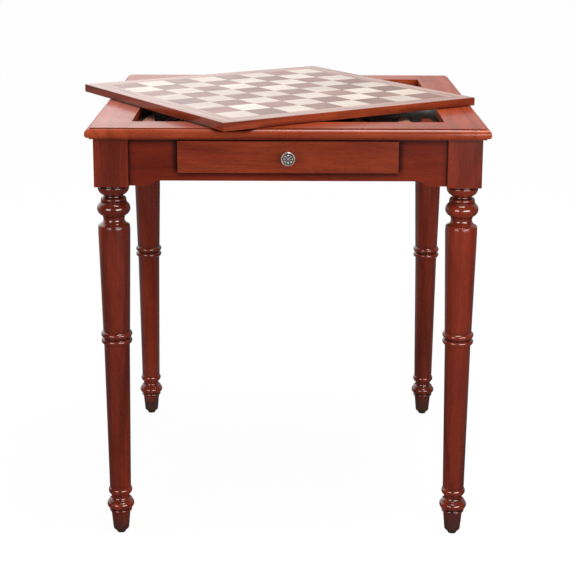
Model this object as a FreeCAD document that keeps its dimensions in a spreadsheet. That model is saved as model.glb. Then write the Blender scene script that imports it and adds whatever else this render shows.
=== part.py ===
import FreeCAD, Part
import math
import os
from types import SimpleNamespace

import Sketcher

# A square games table.  Four turned legs carry an apron and a framed top, and one wide drawer
# runs in the front apron.  The opening of the top is a shallow backgammon field, and a loose
# inlaid chess board drops flush into it.  Here the board lies askew on top of the frame, as it
# is left when the field below is about to be used.
#
# Frame: Z is up, the floor is Z = 0, and the table's front looks along -Y.  The Z axis passes
# through the middle of the board, so the table's own middle stands a little aside of it.

# ---------------------------------------------------------------- driving dimensions, millimetres
SIZES = [
    # name, value, what it is
    ("top_side", 700.0, "side of the square top, over its moulded edge"),
    ("top_height", 765.0, "floor to the face of the top"),
    ("top_thick", 20.0, "thickness of the top's rails"),
    ("table_x", 26.6, "middle of the table, to the right of the board's middle"),
    ("table_y", -2.0, "middle of the table, behind the board's middle"),

    ("quirk_drop", 1.0, "small step under the flat of the top"),
    ("quirk_out", 0.6, "how far the step stands out"),
    ("ovolo_wide", 7.6, "upper round of the moulded edge, inwards"),
    ("ovolo_drop", 8.6, "upper round of the moulded edge, downwards"),
    ("ovolo_swell", 2.35, "how full the upper round is, from end to end"),
    ("nose_flat", 2.4, "upright stretch between the two rounds"),
    ("under_round", 5.6, "lower round of the moulded edge"),
    ("under_swell", 1.6, "how full the lower round is"),
    ("under_fillet", 1.4, "small flat beside the lower round"),

    ("board_side", 550.0, "side of the loose chess board"),
    ("board_thick", 15.0, "thickness of the board"),
    ("board_angle", 32.8, "how far the board is turned, degrees"),
    ("board_gap", 1.0, "clearance all round the board when it is dropped in"),
    ("lipping", 3.5, "solid wood lipping round the board's edge"),
    ("square", 59.4, "side of one square"),
    ("veneer", 0.6, "thickness of every veneer"),
    ("joint_line", 0.1, "knife line between two veneers"),

    ("panel_thick", 3.8, "plywood panel under the playing field"),
    ("rebate", 9.5, "how far the panel runs under the rails"),
    ("bar_wide", 52.0, "bar across the middle of the backgammon field"),
    ("point_long", 222.0, "length of a backgammon point"),
    ("point_gap", 1.6, "gap between the bases of two points"),
    ("tongue_long", 50.0, "loose tongues in the corners of the top"),
    ("tongue_wide", 40.0, "width of a tongue"),
    ("tongue_thick", 6.0, "thickness of a tongue"),
    ("tongue_below", 9.0, "middle of a tongue below the face of the top"),

    ("overhang", 13.0, "top's edge beyond the legs' square blocks"),
    ("leg_block", 60.0, "side of a leg's square block"),
    ("block_long", 86.0, "height of a leg's square block"),
    ("arris", 1.6, "eased corners of the legs' blocks"),
    ("ring_level", 378.2, "floor to the groove between the two rings"),
    ("spigot", 1.0, "turned end inside the square block"),
    ("facet", 4.2, "longest straight part of a turned round"),
    ("tenon_long", 24.0, "tenons of the aprons inside the legs"),
    ("tenon_thick", 8.0, "thickness of a tenon"),
    ("tenon_low", 14.0, "lower edge of an apron to its tenon"),
    ("tenon_high", 16.0, "upper edge of an apron to its tenon"),

    ("apron_thick", 20.0, "thickness of the aprons"),
    ("apron_back", 4.0, "apron behind the face of the legs' blocks"),
    ("apron_ends", 83.5, "height of an apron at its ends"),
    ("apron_mid", 74.5, "height of an apron in its middle"),
    ("ogee_start", 30.0, "apron's end to the start of its shaped step"),
    ("ogee_run", 22.0, "length of the shaped step"),
    ("ogee_swell", 1.5, "how full the two curves of the step are"),

    ("front_wide", 382.0, "width of the drawer's front"),
    ("front_tall", 56.5, "height of the drawer's front"),
    ("front_thick", 12.0, "thickness of the drawer's front"),
    ("front_gap", 2.0, "gap between the drawer's front and the top"),
    ("front_lap", 10.0, "drawer's front over the opening, at each side"),
    ("front_under", 7.0, "drawer's front over the opening, above and below"),
    ("front_ease", 1.2, "chamfered front arrises of the drawer's front"),
    ("drawer_play", 1.0, "clearance beside and above the drawer's box"),
    ("drawer_long", 330.0, "depth of the drawer's box"),
    ("side_thick", 10.0, "drawer sides and back"),
    ("box_front", 12.0, "inner front of the drawer's box"),
    ("bottom_thick", 4.0, "drawer's bottom"),
    ("bottom_up", 6.0, "drawer's bottom above the lower edge of its sides"),
    ("groove_deep", 5.0, "groove that holds the drawer's bottom"),
    ("back_proud", 7.0, "drawer's back above its sides, to meet the stops"),
    ("drawer_travel", 220.0, "how far the drawer comes out"),
    ("stop_long", 10.0, "length of a stop block"),
    ("stop_tall", 6.0, "height of a stop block"),

    ("runner_wide", 42.0, "width of a drawer runner"),
    ("runner_thick", 12.0, "thickness of a drawer runner"),
    ("guide_tall", 20.0, "guide on a runner's outer edge"),
    ("kicker_wide", 42.0, "width of the rails above the drawer"),
    ("cleat", 18.0, "square section of the cleats under the top"),
    ("cleat_inset", 90.0, "end of a cleat to the leg beside it"),

    ("brace_thick", 24.0, "corner braces"),
    ("brace_tall", 46.0, "height of a corner brace"),
    ("brace_down", 16.0, "top of the aprons to the top of a brace"),
    ("brace_gap", 1.0, "corner brace clear of the leg"),
    ("brace_clear", 2.0, "least clearance of a corner brace from the drawer's runner"),
    ("fit_play", 0.2, "clearance of a tongue, a tenon, a panel or a screw in what takes it"),
    ("screw_dia", 4.0, "machine screw that holds the knob"),
    ("screw_head", 8.0, "head of that screw"),
    ("screw_in", 10.5, "how far it goes into the knob"),
    ("head_thick", 2.4, "thickness of its head"),

    ("glide_dia", 18.6, "black glide under a foot"),
    ("glide_thick", 5.0, "thickness of a glide"),
    ("glide_ease", 1.4, "glide tapers in by this much to the floor"),

    ("knob_dia", 27.5, "drawer knob"),
    ("knob_out", 21.0, "knob's face in front of the drawer"),
    ("knob_stem", 9.0, "thinnest part of the knob's stem"),
    ("knob_stem_up", 7.6, "drawer's front to the thinnest part of the stem"),
    ("knob_foot", 14.0, "knob's foot on the drawer"),
    ("rim_tall", 5.6, "height of the knob's rim"),
    ("rim_ease", 1.6, "chamfer of the rim"),
    ("rim_wide", 3.4, "width of the rim round the sunken face"),
    ("dish_deep", 2.2, "sunken face of the knob below its rim"),
    ("dish_rise", 0.4, "rise of the sunken face from the rim to the boss"),
    ("boss_dia", 6.8, "boss in the middle of the knob"),
]

# The turned members of a leg, as a turner marks them on a rod.  Each has its height, its
# diameters at its lower and upper ends, and how far it swells out (or is hollowed, if negative).
FOOT_MEMBERS = [
    ("heel", 6.0, 19.6, 29.2, 0),
    ("foot", 31.4, 29.2, 35.2, 0),
    ("collar", 6.6, 35.2, 37.2, 2.5),
    ("ankle", 15.0, 37.2, 41.6, 5.5),
    ("ankle_hollow", 12.0, 41.6, 33.0, -1.6),
    ("wrist", 14.0, 33.0, 38.6, 3.6),
]
RING_MEMBERS = [
    ("ring_below", 11.4, 46.4, 46.8, 4.9),
    ("ring_above", 11.4, 46.8, 48.0, 4.9),
]
HEAD_MEMBERS = [
    ("shoulder", 11.0, 56.8, 53.4, 0),
    ("neck_hollow", 15.6, 53.4, 37.4, -3.0),
    ("ball", 26.0, 37.4, 44.4, 9.0),
    ("ball_bead", 10.0, 44.4, 36.4, 2.8),
    ("throat", 10.2, 36.4, 49.6, 0),
    ("cap", 11.4, 49.6, 50.6, 3.8),
]


class Size:
    """A length together with the spreadsheet formula that it comes from."""

    def __init__(self, value, formula):
        self.value = float(value)
        self.formula = formula

    def __add__(self, other):
        other = size(other)
        return Size(self.value + other.value, "(%s + %s)" % (self.formula, other.formula))

    def __sub__(self, other):
        other = size(other)
        return Size(self.value - other.value, "(%s - %s)" % (self.formula, other.formula))

    def __mul__(self, other):
        other = size(other)
        return Size(self.value * other.value, "(%s * %s)" % (self.formula, other.formula))

    def __truediv__(self, other):
        other = size(other)
        return Size(self.value / other.value, "(%s / %s)" % (self.formula, other.formula))

    def __neg__(self):
        return Size(-self.value, "(0 - %s)" % self.formula)


def size(number):
    """Read a plain number as a Size."""
    if isinstance(number, Size):
        return number
    return Size(number, "(%r)" % float(number))


def cosine(angle):
    return Size(math.cos(math.radians(angle.value)), "cos(%s * 1 deg)" % angle.formula)


def sine(angle):
    return Size(math.sin(math.radians(angle.value)), "sin(%s * 1 deg)" % angle.formula)


doc = FreeCAD.newDocument("chess_table")
sheet = doc.addObject("Spreadsheet::Sheet", "Sizes")
cell = SimpleNamespace()
rows = list(SIZES)
for member, tall, low, high, swell in FOOT_MEMBERS + RING_MEMBERS + HEAD_MEMBERS:
    rows.append((member + "_tall", tall, "height of this member"))
    rows.append((member + "_low", low, "diameter at its lower end"))
    rows.append((member + "_high", high, "diameter at its upper end"))
    if swell:
        rows.append((member + "_swell", swell, "how far it swells out, or is hollowed"))
for row, (alias, number, meaning) in enumerate(rows, start=1):
    sheet.set("A%d" % row, str(number))
    sheet.setAlias("A%d" % row, alias)
    sheet.set("B%d" % row, "'" + meaning)
    setattr(cell, alias, Size(number, "Sizes." + alias))
doc.recompute()

ZERO = size(0)
DIAGONAL = Size(math.sqrt(2), "sqrt(2)")
MARGIN = 2.0                          # how far a cutting shape reaches past what it cuts
QUARTER = 90.0                        # degrees from one side or corner of the table to the next
RING_SIDES = 24                       # sides of the rings that a turned piece is drawn with

# ---------------------------------------------------------------- sizes that follow from those
half_top = cell.top_side / 2
well = cell.board_side / 2 + cell.board_gap           # half of the opening in the top
under_top = cell.top_height - cell.top_thick          # underside of the rails
field_face = under_top + cell.panel_thick + cell.veneer
leg_face = half_top - cell.overhang                   # outer face of the leg blocks
leg_axis = leg_face - cell.leg_block / 2
leg_inside = leg_face - cell.leg_block                # inner faces of the leg blocks
block_low = under_top - cell.block_long
apron_face = leg_face - cell.apron_back
apron_inside = apron_face - cell.apron_thick

front_top = under_top - cell.front_gap                # drawer front, from its upper edge down
front_low = front_top - cell.front_tall
opening_half = cell.front_wide / 2 - cell.front_lap   # opening for the drawer in the front apron
opening_top = front_top - cell.front_under
opening_low = front_low + cell.front_under
box_half = opening_half - cell.drawer_play
box_low = opening_low
box_top = opening_top - cell.drawer_play - cell.back_proud
box_front_face = -apron_face                          # box front is flush with the apron's face
box_end = box_front_face + cell.drawer_long
knob_level = (front_top + front_low) / 2

runner_inner = box_half - cell.side_thick * 2
runner_outer = runner_inner + cell.runner_wide

brace_top = under_top - cell.brace_down
brace_outer = leg_inside * DIAGONAL - cell.brace_gap  # along the diagonal, from the table's middle
tenon_line = apron_inside + cell.apron_thick / 2      # middle of the tenons
tenon_bottom = under_top - cell.apron_ends + cell.tenon_low
tenon_top = under_top - cell.tenon_high
brace_inner = brace_outer - cell.brace_thick
tongue_level = cell.top_height - cell.tongue_below
screw_hole = (cell.screw_dia + cell.fit_play) / 2     # radius

# ---------------------------------------------------------------- ways of building
def bind(thing, name, amount):
    """Set a property and tie it to the spreadsheet."""
    setattr(thing, name, amount.value)
    thing.setExpression(name, amount.formula)


def frame(x=ZERO, y=ZERO, turn=ZERO):
    """A place on the floor, turned about its upright axis, that pieces are set out from."""
    return SimpleNamespace(x=x, y=y, turn=turn)


table = frame(cell.table_x, cell.table_y)
board = frame(turn=cell.board_angle)


def table_side(quarter):
    """The table's frame turned to its front (0), right (1), back (2) or left (3) side."""
    return frame(cell.table_x, cell.table_y, size(QUARTER * quarter))


def table_corner(quarter):
    """The table's frame with X along a diagonal: front right, back right, back left, front left."""
    return frame(cell.table_x, cell.table_y, size(QUARTER * quarter - QUARTER / 2))


def place(thing, where, x=ZERO, y=ZERO, z=ZERO):
    """Put a thing at x, y, z of a frame, bound to the sheet."""
    across = where.x + x * cosine(where.turn) - y * sine(where.turn)
    along = where.y + x * sine(where.turn) + y * cosine(where.turn)
    upright = FreeCAD.Vector(0, 0, 1)
    spin = FreeCAD.Rotation(upright, where.turn.value)
    thing.Placement = FreeCAD.Placement(FreeCAD.Vector(across.value, along.value, z.value), spin)
    thing.setExpression("Placement.Base.x", across.formula)
    thing.setExpression("Placement.Base.y", along.formula)
    thing.setExpression("Placement.Base.z", z.formula)
    if where.turn is cell.board_angle:
        thing.setExpression("Placement.Rotation.Angle", where.turn.formula)
    return thing


def plank(label, where, x, y, z):
    """A plain rectangular piece between pairs of coordinates."""
    box = doc.addObject("Part::Box", label)
    box.Label = label
    bind(box, "Length", x[1] - x[0])
    bind(box, "Width", y[1] - y[0])
    bind(box, "Height", z[1] - z[0])
    return place(box, where, x[0], y[0], z[0])


def both_sides(half):
    """The pair of coordinates that lie that far each side of the middle."""
    return (-half, half)


def cut(label, blank, *tools):
    """Cut tools out of a blank and name what is left."""
    blank.Label = label + "_blank"
    tool = tools[0]
    if len(tools) > 1:
        tool = doc.addObject("Part::MultiFuse", label + "_tools")
        tool.Shapes = list(tools)
    piece = doc.addObject("Part::Cut", label)
    piece.Base = blank
    piece.Tool = tool
    piece.Label = label
    return piece


def new_body(label, where=None, x=ZERO, y=ZERO, z=ZERO):
    """An empty PartDesign body standing in a frame."""
    body = doc.addObject("PartDesign::Body", label)
    body.Label = label
    if where is not None:
        place(body, where, x, y, z)
    return body


def origin_part(body, role):
    """One of a body's own origin planes or axes."""
    return [feature for feature in body.Origin.OriginFeatures if feature.Role == role][0]


def new_sketch(body, plane, height=ZERO):
    """A sketch on one of the body's own planes, raised along the plane's normal."""
    sketch = body.newObject("Sketcher::SketchObject", body.Label + "_sketch")
    sketch.AttachmentSupport = [(origin_part(body, plane), "")]
    sketch.MapMode = "FlatFace"
    sketch.AttachmentOffset = FreeCAD.Placement(FreeCAD.Vector(0, 0, height.value), FreeCAD.Rotation())
    sketch.setExpression("AttachmentOffset.Base.z", height.formula)
    return sketch


def fix(sketch, kind, places, amount):
    """Add a dimension to a sketch and tie it to the sheet."""
    index = sketch.addConstraint(Sketcher.Constraint(kind, *places, amount.value))
    sketch.setExpression("Constraints[%d]" % index, amount.formula)


def outline(sketch, steps):
    """Draw a closed outline, counter-clockwise.

    Each step (across, up) is a corner.  A third number gives the edge that leaves that corner
    a bulge: outwards where it is positive, hollow where it is negative.
    """
    corners = [(size(step[0]), size(step[1])) for step in steps]
    bulges = [size(step[2]) if len(step) > 2 else None for step in steps]
    count = len(corners)
    first = sketch.GeometryCount
    starts = []                       # which end of each edge is its first corner
    for index, bulge in enumerate(bulges):
        across, up = corners[index]
        a = FreeCAD.Vector(across.value, up.value, 0)
        across, up = corners[(index + 1) % count]
        b = FreeCAD.Vector(across.value, up.value, 0)
        if bulge is None:
            sketch.addGeometry(Part.LineSegment(a, b), False)
            starts.append(1)
            continue
        chord = b - a
        outward = FreeCAD.Vector(chord.y, -chord.x, 0).normalize()
        crown = (a + b) * 0.5 + outward * bulge.value
        sketch.addGeometry(Part.Arc(a, crown, b), False)
        starts.append(1 if bulge.value > 0 else 2)
    for index in range(count):
        after = (index + 1) % count
        ends = (first + index, 3 - starts[index], first + after, starts[after])
        sketch.addConstraint(Sketcher.Constraint("Coincident", *ends))
    for index, bulge in enumerate(bulges):
        across, up = corners[index]
        corner = (-1, 1, first + index, starts[index])
        fix(sketch, "DistanceX", corner, across)
        fix(sketch, "DistanceY", corner, up)
        if bulge is not None:
            next_across, next_up = corners[(index + 1) % count]
            run = next_across - across
            rise = next_up - up
            tall = bulge if bulge.value > 0 else -bulge
            radius = (run * run / 4 + rise * rise / 4 + tall * tall) / (tall * 2)
            fix(sketch, "Radius", (first + index,), radius)


def half_round(start, end, swell):
    """Points between two ends of a half round that stands out by swell, in straight facets."""
    facets = math.ceil((end[1] - start[1]).value / cell.facet.value)
    points = []
    for number in range(1, facets):
        turn = math.pi * number / facets
        share = (1 - math.cos(turn)) / 2
        across = start[0] + (end[0] - start[0]) * share + swell * math.sin(turn)
        points.append((across, start[1] + (end[1] - start[1]) * share))
    return points


def circle(sketch, across, up, radius):
    """Draw a circle with its centre and radius bound to the sheet."""
    centre = FreeCAD.Vector(across.value, up.value, 0)
    ring = Part.Circle(centre, FreeCAD.Vector(0, 0, 1), radius.value)
    number = sketch.addGeometry(ring, False)
    fix(sketch, "DistanceX", (-1, 1, number, 3), across)
    fix(sketch, "DistanceY", (-1, 1, number, 3), up)
    fix(sketch, "Radius", (number,), radius)


def pad(body, sketch, length):
    """Raise a sketch along its plane's normal."""
    feature = body.newObject("PartDesign::Pad", body.Label + "_pad")
    feature.Profile = sketch
    bind(feature, "Length", length)
    return feature


def pocket(body, sketch, depth, forward=True):
    """Cut a sketch out of the body, along the plane's normal or against it."""
    feature = body.newObject("PartDesign::Pocket", body.Label + "_pocket")
    feature.Profile = sketch
    feature.Reversed = forward
    bind(feature, "Length", depth)
    return feature


def ring(label, radius, height):
    """A level ring of many sides round the upright axis."""
    made = doc.addObject("Part::RegularPolygon", label)
    made.Polygon = RING_SIDES
    bind(made, "Circumradius", radius)
    return place(made, frame(), z=height)


def turned(label, rings):
    """A turned piece, whose surface runs straight from each of its rings to the next."""
    piece = doc.addObject("Part::Loft", label)
    piece.Sections = rings
    piece.Solid = True
    piece.Ruled = True
    piece.Linearize = True
    return piece


def fused(label, *parts):
    """One piece of several that are made of the same stick."""
    piece = doc.addObject("Part::MultiFuse", label)
    piece.Shapes = list(parts)
    piece.Label = label
    return piece


def round_pattern(body, features, count):
    """Repeat features about the body's upright axis."""
    feature = body.newObject("PartDesign::PolarPattern", body.Label + "_pattern")
    feature.Originals = features
    feature.Axis = (origin_part(body, "Z_Axis"), [""])
    feature.Angle = 360
    feature.Occurrences = count
    body.Tip = feature
    return feature


def rectangle(x, y):
    """The four corners of a rectangle between pairs of coordinates."""
    return [(x[0], y[0]), (x[1], y[0]), (x[1], y[1]), (x[0], y[1])]


pieces = []                           # every finished sub-part


def keep(piece):
    pieces.append(piece)
    return piece


# ---------------------------------------------------------------- the turned legs
# The legs' bodies look along the table's diagonals, so what is square to its sides is turned back.
def square_on(sketch):
    """Turn a level sketch of a leg by half a right angle, square to the table."""
    eighth = FreeCAD.Rotation(FreeCAD.Vector(0, 0, 1), QUARTER / 2)
    sketch.AttachmentOffset = FreeCAD.Placement(sketch.AttachmentOffset.Base, eighth)


# The foot's members stand on the glide and the head's hang from the square block, wherever those
# are, and the two tapered shafts fill what is between them and the rings.
def stack_height(members):
    """Total height of a stack of turned members."""
    total = ZERO
    for member in members:
        total = total + getattr(cell, member[0] + "_tall")
    return total


def stack(members, level):
    """Radius and height of each ring of turned members stacked up from a level."""
    steps = []
    for name, tall, low, high, swell in members:
        lower = (getattr(cell, name + "_low") / 2, level)
        level = level + getattr(cell, name + "_tall")
        upper = (getattr(cell, name + "_high") / 2, level)
        steps.append(lower)
        if swell:
            steps += half_round(lower, upper, getattr(cell, name + "_swell"))
    return steps + [upper]


def leg_turning():
    """Radius and height of each ring of a leg, from the foot's end up."""
    foot = cell.glide_thick
    rings = cell.ring_level - stack_height(RING_MEMBERS) / 2
    head = block_low - stack_height(HEAD_MEMBERS)
    steps = stack(FOOT_MEMBERS, foot) + stack(RING_MEMBERS, rings) + stack(HEAD_MEMBERS, head)
    return steps + [(cell.cap_high / 2, block_low + cell.spigot)]


leg_rings = [ring("leg_ring", radius, height) for radius, height in leg_turning()]


def chamfered_square(half, ease):
    """A square with its corners taken off, as outline steps."""
    flat = half - ease
    return [(-flat, -half), (flat, -half), (half, -flat), (half, flat),
            (flat, half), (-flat, half), (-half, flat), (-half, -flat)]


def leg(label, quarter):
    """One leg: a square block over a turned shaft, mortised for the two aprons that meet in it."""
    corner = table_corner(quarter)
    turning = place(turned(label + "_turning", leg_rings), corner, leg_axis * DIAGONAL)
    body = new_body(label + "_block", corner, leg_axis * DIAGONAL)
    block = new_sketch(body, "XY_Plane", block_low)
    outline(block, chamfered_square(cell.leg_block / 2, cell.arris))
    square_on(block)
    pad(body, block, cell.block_long)
    inner = -cell.leg_block / 2
    middle = tenon_line - leg_axis
    half = (cell.tenon_thick + cell.fit_play) / 2
    mortises = new_sketch(body, "XY_Plane", tenon_bottom)
    across = (inner - MARGIN, inner + cell.tenon_long + cell.fit_play)
    outline(mortises, rectangle(across, (-middle - half, -middle + half)))
    outline(mortises, rectangle((middle - half, middle + half), (-across[1], -across[0])))
    square_on(mortises)
    pocket(body, mortises, tenon_top - tenon_bottom)
    return fused(label, turning, body)


for quarter, corner in enumerate(("front_right", "back_right", "back_left", "front_left")):
    keep(leg("leg_" + corner, quarter))


def glides():
    """A black plastic disc under each foot."""
    body = new_body("glides", table_corner(0))
    glide = new_sketch(body, "XY_Plane", cell.glide_thick)
    circle(glide, leg_axis * DIAGONAL, ZERO, cell.glide_dia / 2)
    disc = pad(body, glide, cell.glide_thick)
    disc.Reversed = True
    disc.TaperAngle = -math.degrees(math.atan((cell.glide_ease / cell.glide_thick).value))
    disc.setExpression("TaperAngle", "-atan(%s)" % (cell.glide_ease / cell.glide_thick).formula)
    round_pattern(body, [disc], 4)
    return body


keep(glides())


# ---------------------------------------------------------------- the aprons
# Each apron is one board whose lower edge rises, over a small ogee at each end, to a long
# straight middle.
def apron_edge():
    """The lower edge of an apron, left to right."""
    low = under_top - cell.apron_ends
    high = under_top - cell.apron_mid
    step = leg_inside - cell.ogee_start
    crest = step - cell.ogee_run
    middle = (step + crest) / 2
    half_way = (low + high) / 2
    return [
        (-leg_inside, low),
        (-step, low, cell.ogee_swell),
        (-middle, half_way, -cell.ogee_swell),
        (-crest, high),
        (crest, high, -cell.ogee_swell),
        (middle, half_way, cell.ogee_swell),
        (step, low),
        (leg_inside, low),
    ]


def apron(label, quarter, opening=False):
    body = new_body(label, table_side(quarter))
    sketch = new_sketch(body, "XZ_Plane", apron_inside)
    outline(sketch, apron_edge() + [(leg_inside, under_top), (-leg_inside, under_top)])
    pad(body, sketch, cell.apron_thick)
    tenons = new_sketch(body, "XY_Plane", tenon_bottom + cell.fit_play / 2)
    edges = (-tenon_line - cell.tenon_thick / 2, -tenon_line + cell.tenon_thick / 2)
    outline(tenons, rectangle(both_sides(leg_inside + cell.tenon_long), edges))
    pad(body, tenons, tenon_top - tenon_bottom - cell.fit_play)
    if opening:
        mouth = new_sketch(body, "XZ_Plane", apron_inside - MARGIN)
        outline(mouth, rectangle(both_sides(opening_half), (opening_low, opening_top)))
        pocket(body, mouth, cell.apron_thick + MARGIN * 2)
    return body


keep(apron("front_apron", 0, opening=True))
keep(apron("right_apron", 1))
keep(apron("back_apron", 2))
keep(apron("left_apron", 3))


# ---------------------------------------------------------------- corner braces
# Nothing of a brace may stand in the way of the drawer's runners.  A wider drawer brings them
# nearer, and then the braces are cut back to clear them.
brace_low = brace_top - cell.brace_tall
runner_way = plank("runner_way", table, both_sides(runner_outer + cell.brace_clear),
                   both_sides(apron_inside), (brace_low, brace_top))


def corner_brace(label, quarter):
    """A block glued across the corner, its ends cut to the two aprons."""
    body = new_body(label + "_board", table_corner(quarter))
    reach = apron_inside * DIAGONAL
    plan = new_sketch(body, "XY_Plane", brace_low)
    outline(plan, [
        (brace_inner, -(reach - brace_inner)),
        (brace_outer, -(reach - brace_outer)),
        (brace_outer, reach - brace_outer),
        (brace_inner, reach - brace_inner),
    ])
    pad(body, plan, cell.brace_tall)
    return cut(label, body, runner_way)


for quarter, corner in enumerate(("front_right", "back_right", "back_left", "front_left")):
    keep(corner_brace("brace_" + corner, quarter))


# ---------------------------------------------------------------- the framed top
# Two side rails run the whole depth and the front and back rails butt between them, each joint
# with a loose tongue.
# All round, the outer edge is moulded: a small step, an ovolo, a short flat and a lower round.
# The inner edges are rebated from below for the panel of the playing field.
def moulded_edge():
    """The edge moulding seen from the right: from the face of the top down to its underside."""
    face = cell.top_height
    edge = -half_top
    step = face - cell.quirk_drop
    upper = step - cell.ovolo_drop
    lower = upper - cell.nose_flat
    bottom = lower - cell.under_round
    return [
        (edge + cell.ovolo_wide + cell.quirk_out, face),
        (edge + cell.ovolo_wide + cell.quirk_out, step),
        (edge + cell.ovolo_wide, step, cell.ovolo_swell),
        (edge, upper),
        (edge, lower, cell.under_swell),
        (edge + cell.under_round, bottom),
        (edge + cell.under_round + cell.under_fillet, bottom),
        (edge + cell.under_round + cell.under_fillet, under_top),
    ]


def rail_section():
    """Section of a rail, before its rebate."""
    return moulded_edge() + [(-well, under_top), (-well, cell.top_height)]


def rebate_for_panel(body, length):
    """Cut the rebate that takes the panel's edge, along the inner edge of a rail."""
    plan = new_sketch(body, "XY_Plane", under_top - MARGIN)
    outline(plan, rectangle(both_sides(length), (-well - cell.rebate, -well + MARGIN)))
    pocket(body, plan, cell.panel_thick + MARGIN)


def end_rail(label, quarter):
    """The front or back rail, which stands between the side rails."""
    body = new_body(label, table_side(quarter))
    section = new_sketch(body, "YZ_Plane", -well)
    outline(section, rail_section())
    pad(body, section, well * 2)
    rebate_for_panel(body, well + MARGIN)
    for start in (-well - MARGIN, well - mortise_deep):
        mortise = new_sketch(body, "YZ_Plane", start)
        outline(mortise, rectangle((-rail_middle - mortise_half, -rail_middle + mortise_half), mortise_levels))
        pocket(body, mortise, mortise_deep + MARGIN)
    return body


def side_rail(label, quarter):
    """A side rail: the whole depth of the top, with the moulding carried round its ends."""
    body = new_body(label, table_side(quarter))
    section = new_sketch(body, "YZ_Plane", -half_top)
    outline(section, rail_section())
    pad(body, section, half_top * 2)
    ends = new_sketch(body, "XZ_Plane", well - MARGIN)
    for side in (1, -1):
        waste = []
        for across, up, *swell in moulded_edge():
            waste.append((across * side, up, *[bulge * side for bulge in swell]))
        waste.append(((-half_top - MARGIN) * side, under_top))
        waste.append(((-half_top - MARGIN) * side, cell.top_height))
        outline(ends, waste)
    pocket(body, ends, half_top - well + MARGIN * 2)
    rebate_for_panel(body, panel_half)
    mortises = new_sketch(body, "XZ_Plane", well - MARGIN)
    for joint in (-1, 1):
        middle = rail_middle * joint
        outline(mortises, rectangle((middle - mortise_half, middle + mortise_half), mortise_levels))
    pocket(body, mortises, mortise_deep + MARGIN)
    return body


rail_middle = (half_top + well) / 2                   # middle of a rail, from the table's middle
panel_half = well + cell.rebate
mortise_half = (cell.tongue_wide + cell.fit_play) / 2
mortise_deep = (cell.tongue_long + cell.fit_play) / 2
mortise_thick = (cell.tongue_thick + cell.fit_play) / 2
mortise_levels = (tongue_level - mortise_thick, tongue_level + mortise_thick)

keep(end_rail("top_rail_front", 0))
keep(side_rail("top_rail_right", 1))
keep(end_rail("top_rail_back", 2))
keep(side_rail("top_rail_left", 3))


def rail_tongues():
    """A loose tongue in each of the four butt joints."""
    body = new_body("rail_tongues", table)
    plan = new_sketch(body, "XY_Plane", tongue_level - cell.tongue_thick / 2)
    half_wide = cell.tongue_wide / 2
    half_long = cell.tongue_long / 2
    for middle in (-rail_middle, rail_middle):
        for joint in (-well, well):
            across = (joint - half_long, joint + half_long)
            outline(plan, rectangle(across, (middle - half_wide, middle + half_wide)))
    pad(body, plan, cell.tongue_thick)
    return body


keep(rail_tongues())


# ---------------------------------------------------------------- the backgammon field
# A plywood panel fills the opening from below.  Its face is veneered black, with twelve points
# along the front and twelve along the back let into the veneer, and a bar across the middle.
panel_edge = panel_half - cell.fit_play
panel_top = under_top + cell.panel_thick
keep(plank("field_panel", table, both_sides(panel_edge), both_sides(panel_edge),
           (under_top, panel_top)))

POINTS = 12                           # along each long side of the field
point_pitch = (well * 2 - cell.bar_wide) / POINTS


def point_outline(index, side):
    """One long triangle, counted from the left; side is -1 at the front and +1 at the back."""
    left = -well + point_pitch * index
    if index >= POINTS // 2:
        left = left + cell.bar_wide
    start = left + cell.point_gap / 2
    end = left + point_pitch - cell.point_gap / 2
    base = well * side
    tip = base - cell.point_long * side
    middle = (start + end) / 2
    if side < 0:
        return [(start, base), (end, base), (middle, tip)]
    return [(end, base), (start, base), (middle, tip)]


def points(label, parity):
    """Every other point of the field: they differ in colour from those between them."""
    body = new_body(label, table)
    plan = new_sketch(body, "XY_Plane", panel_top)
    for side in (-1, 1):
        for index in range(POINTS):
            if (index + (side > 0)) % 2 == parity:
                outline(plan, point_outline(index, side))
    pad(body, plan, cell.veneer)
    return body


light_points = keep(points("points_light", 0))
dark_points = keep(points("points_dark", 1))
bar = keep(plank("field_bar", table, both_sides(cell.bar_wide / 2), both_sides(well),
                 (panel_top, field_face)))
field = plank("field_sheet", table, both_sides(well), both_sides(well), (panel_top, field_face))
keep(cut("field_ground", field, light_points, dark_points, bar))


# ---------------------------------------------------------------- inside the frame
def runner(label, side):
    """What one side of the drawer slides on, with the guide that keeps it straight."""
    body = new_body(label, table)
    section = new_sketch(body, "XZ_Plane", -apron_inside)
    low = opening_low - cell.runner_thick
    tall = opening_low + cell.guide_tall
    steps = [
        (runner_inner, low),
        (runner_outer, low),
        (runner_outer, tall),
        (opening_half, tall),
        (opening_half, opening_low),
        (runner_inner, opening_low),
    ]
    outline(section, [(across * side, up) for across, up in steps])
    pad(body, section, apron_inside * 2)
    return body


def pair(side, near, far):
    """A pair of coordinates at one side of the middle, in rising order."""
    return (near, far) if side > 0 else (-far, -near)


for side, name in ((-1, "left"), (1, "right")):
    keep(runner("drawer_runner_" + name, side))
    keep(plank("drawer_kicker_" + name, table, pair(side, runner_inner, runner_inner + cell.kicker_wide),
               both_sides(apron_inside), (opening_top, under_top)))


def drawer_stops():
    """A block under each kicker, which the tall back of the drawer meets."""
    body = new_body("drawer_stops", table)
    plan = new_sketch(body, "XY_Plane", opening_top - cell.stop_tall)
    face = box_end - cell.side_thick - cell.drawer_travel
    for side in (-1, 1):
        across = pair(side, runner_inner, box_half - cell.side_thick)
        outline(plan, rectangle(across, (face - cell.stop_long, face)))
    pad(body, plan, cell.stop_tall)
    return body


keep(drawer_stops())


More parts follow.
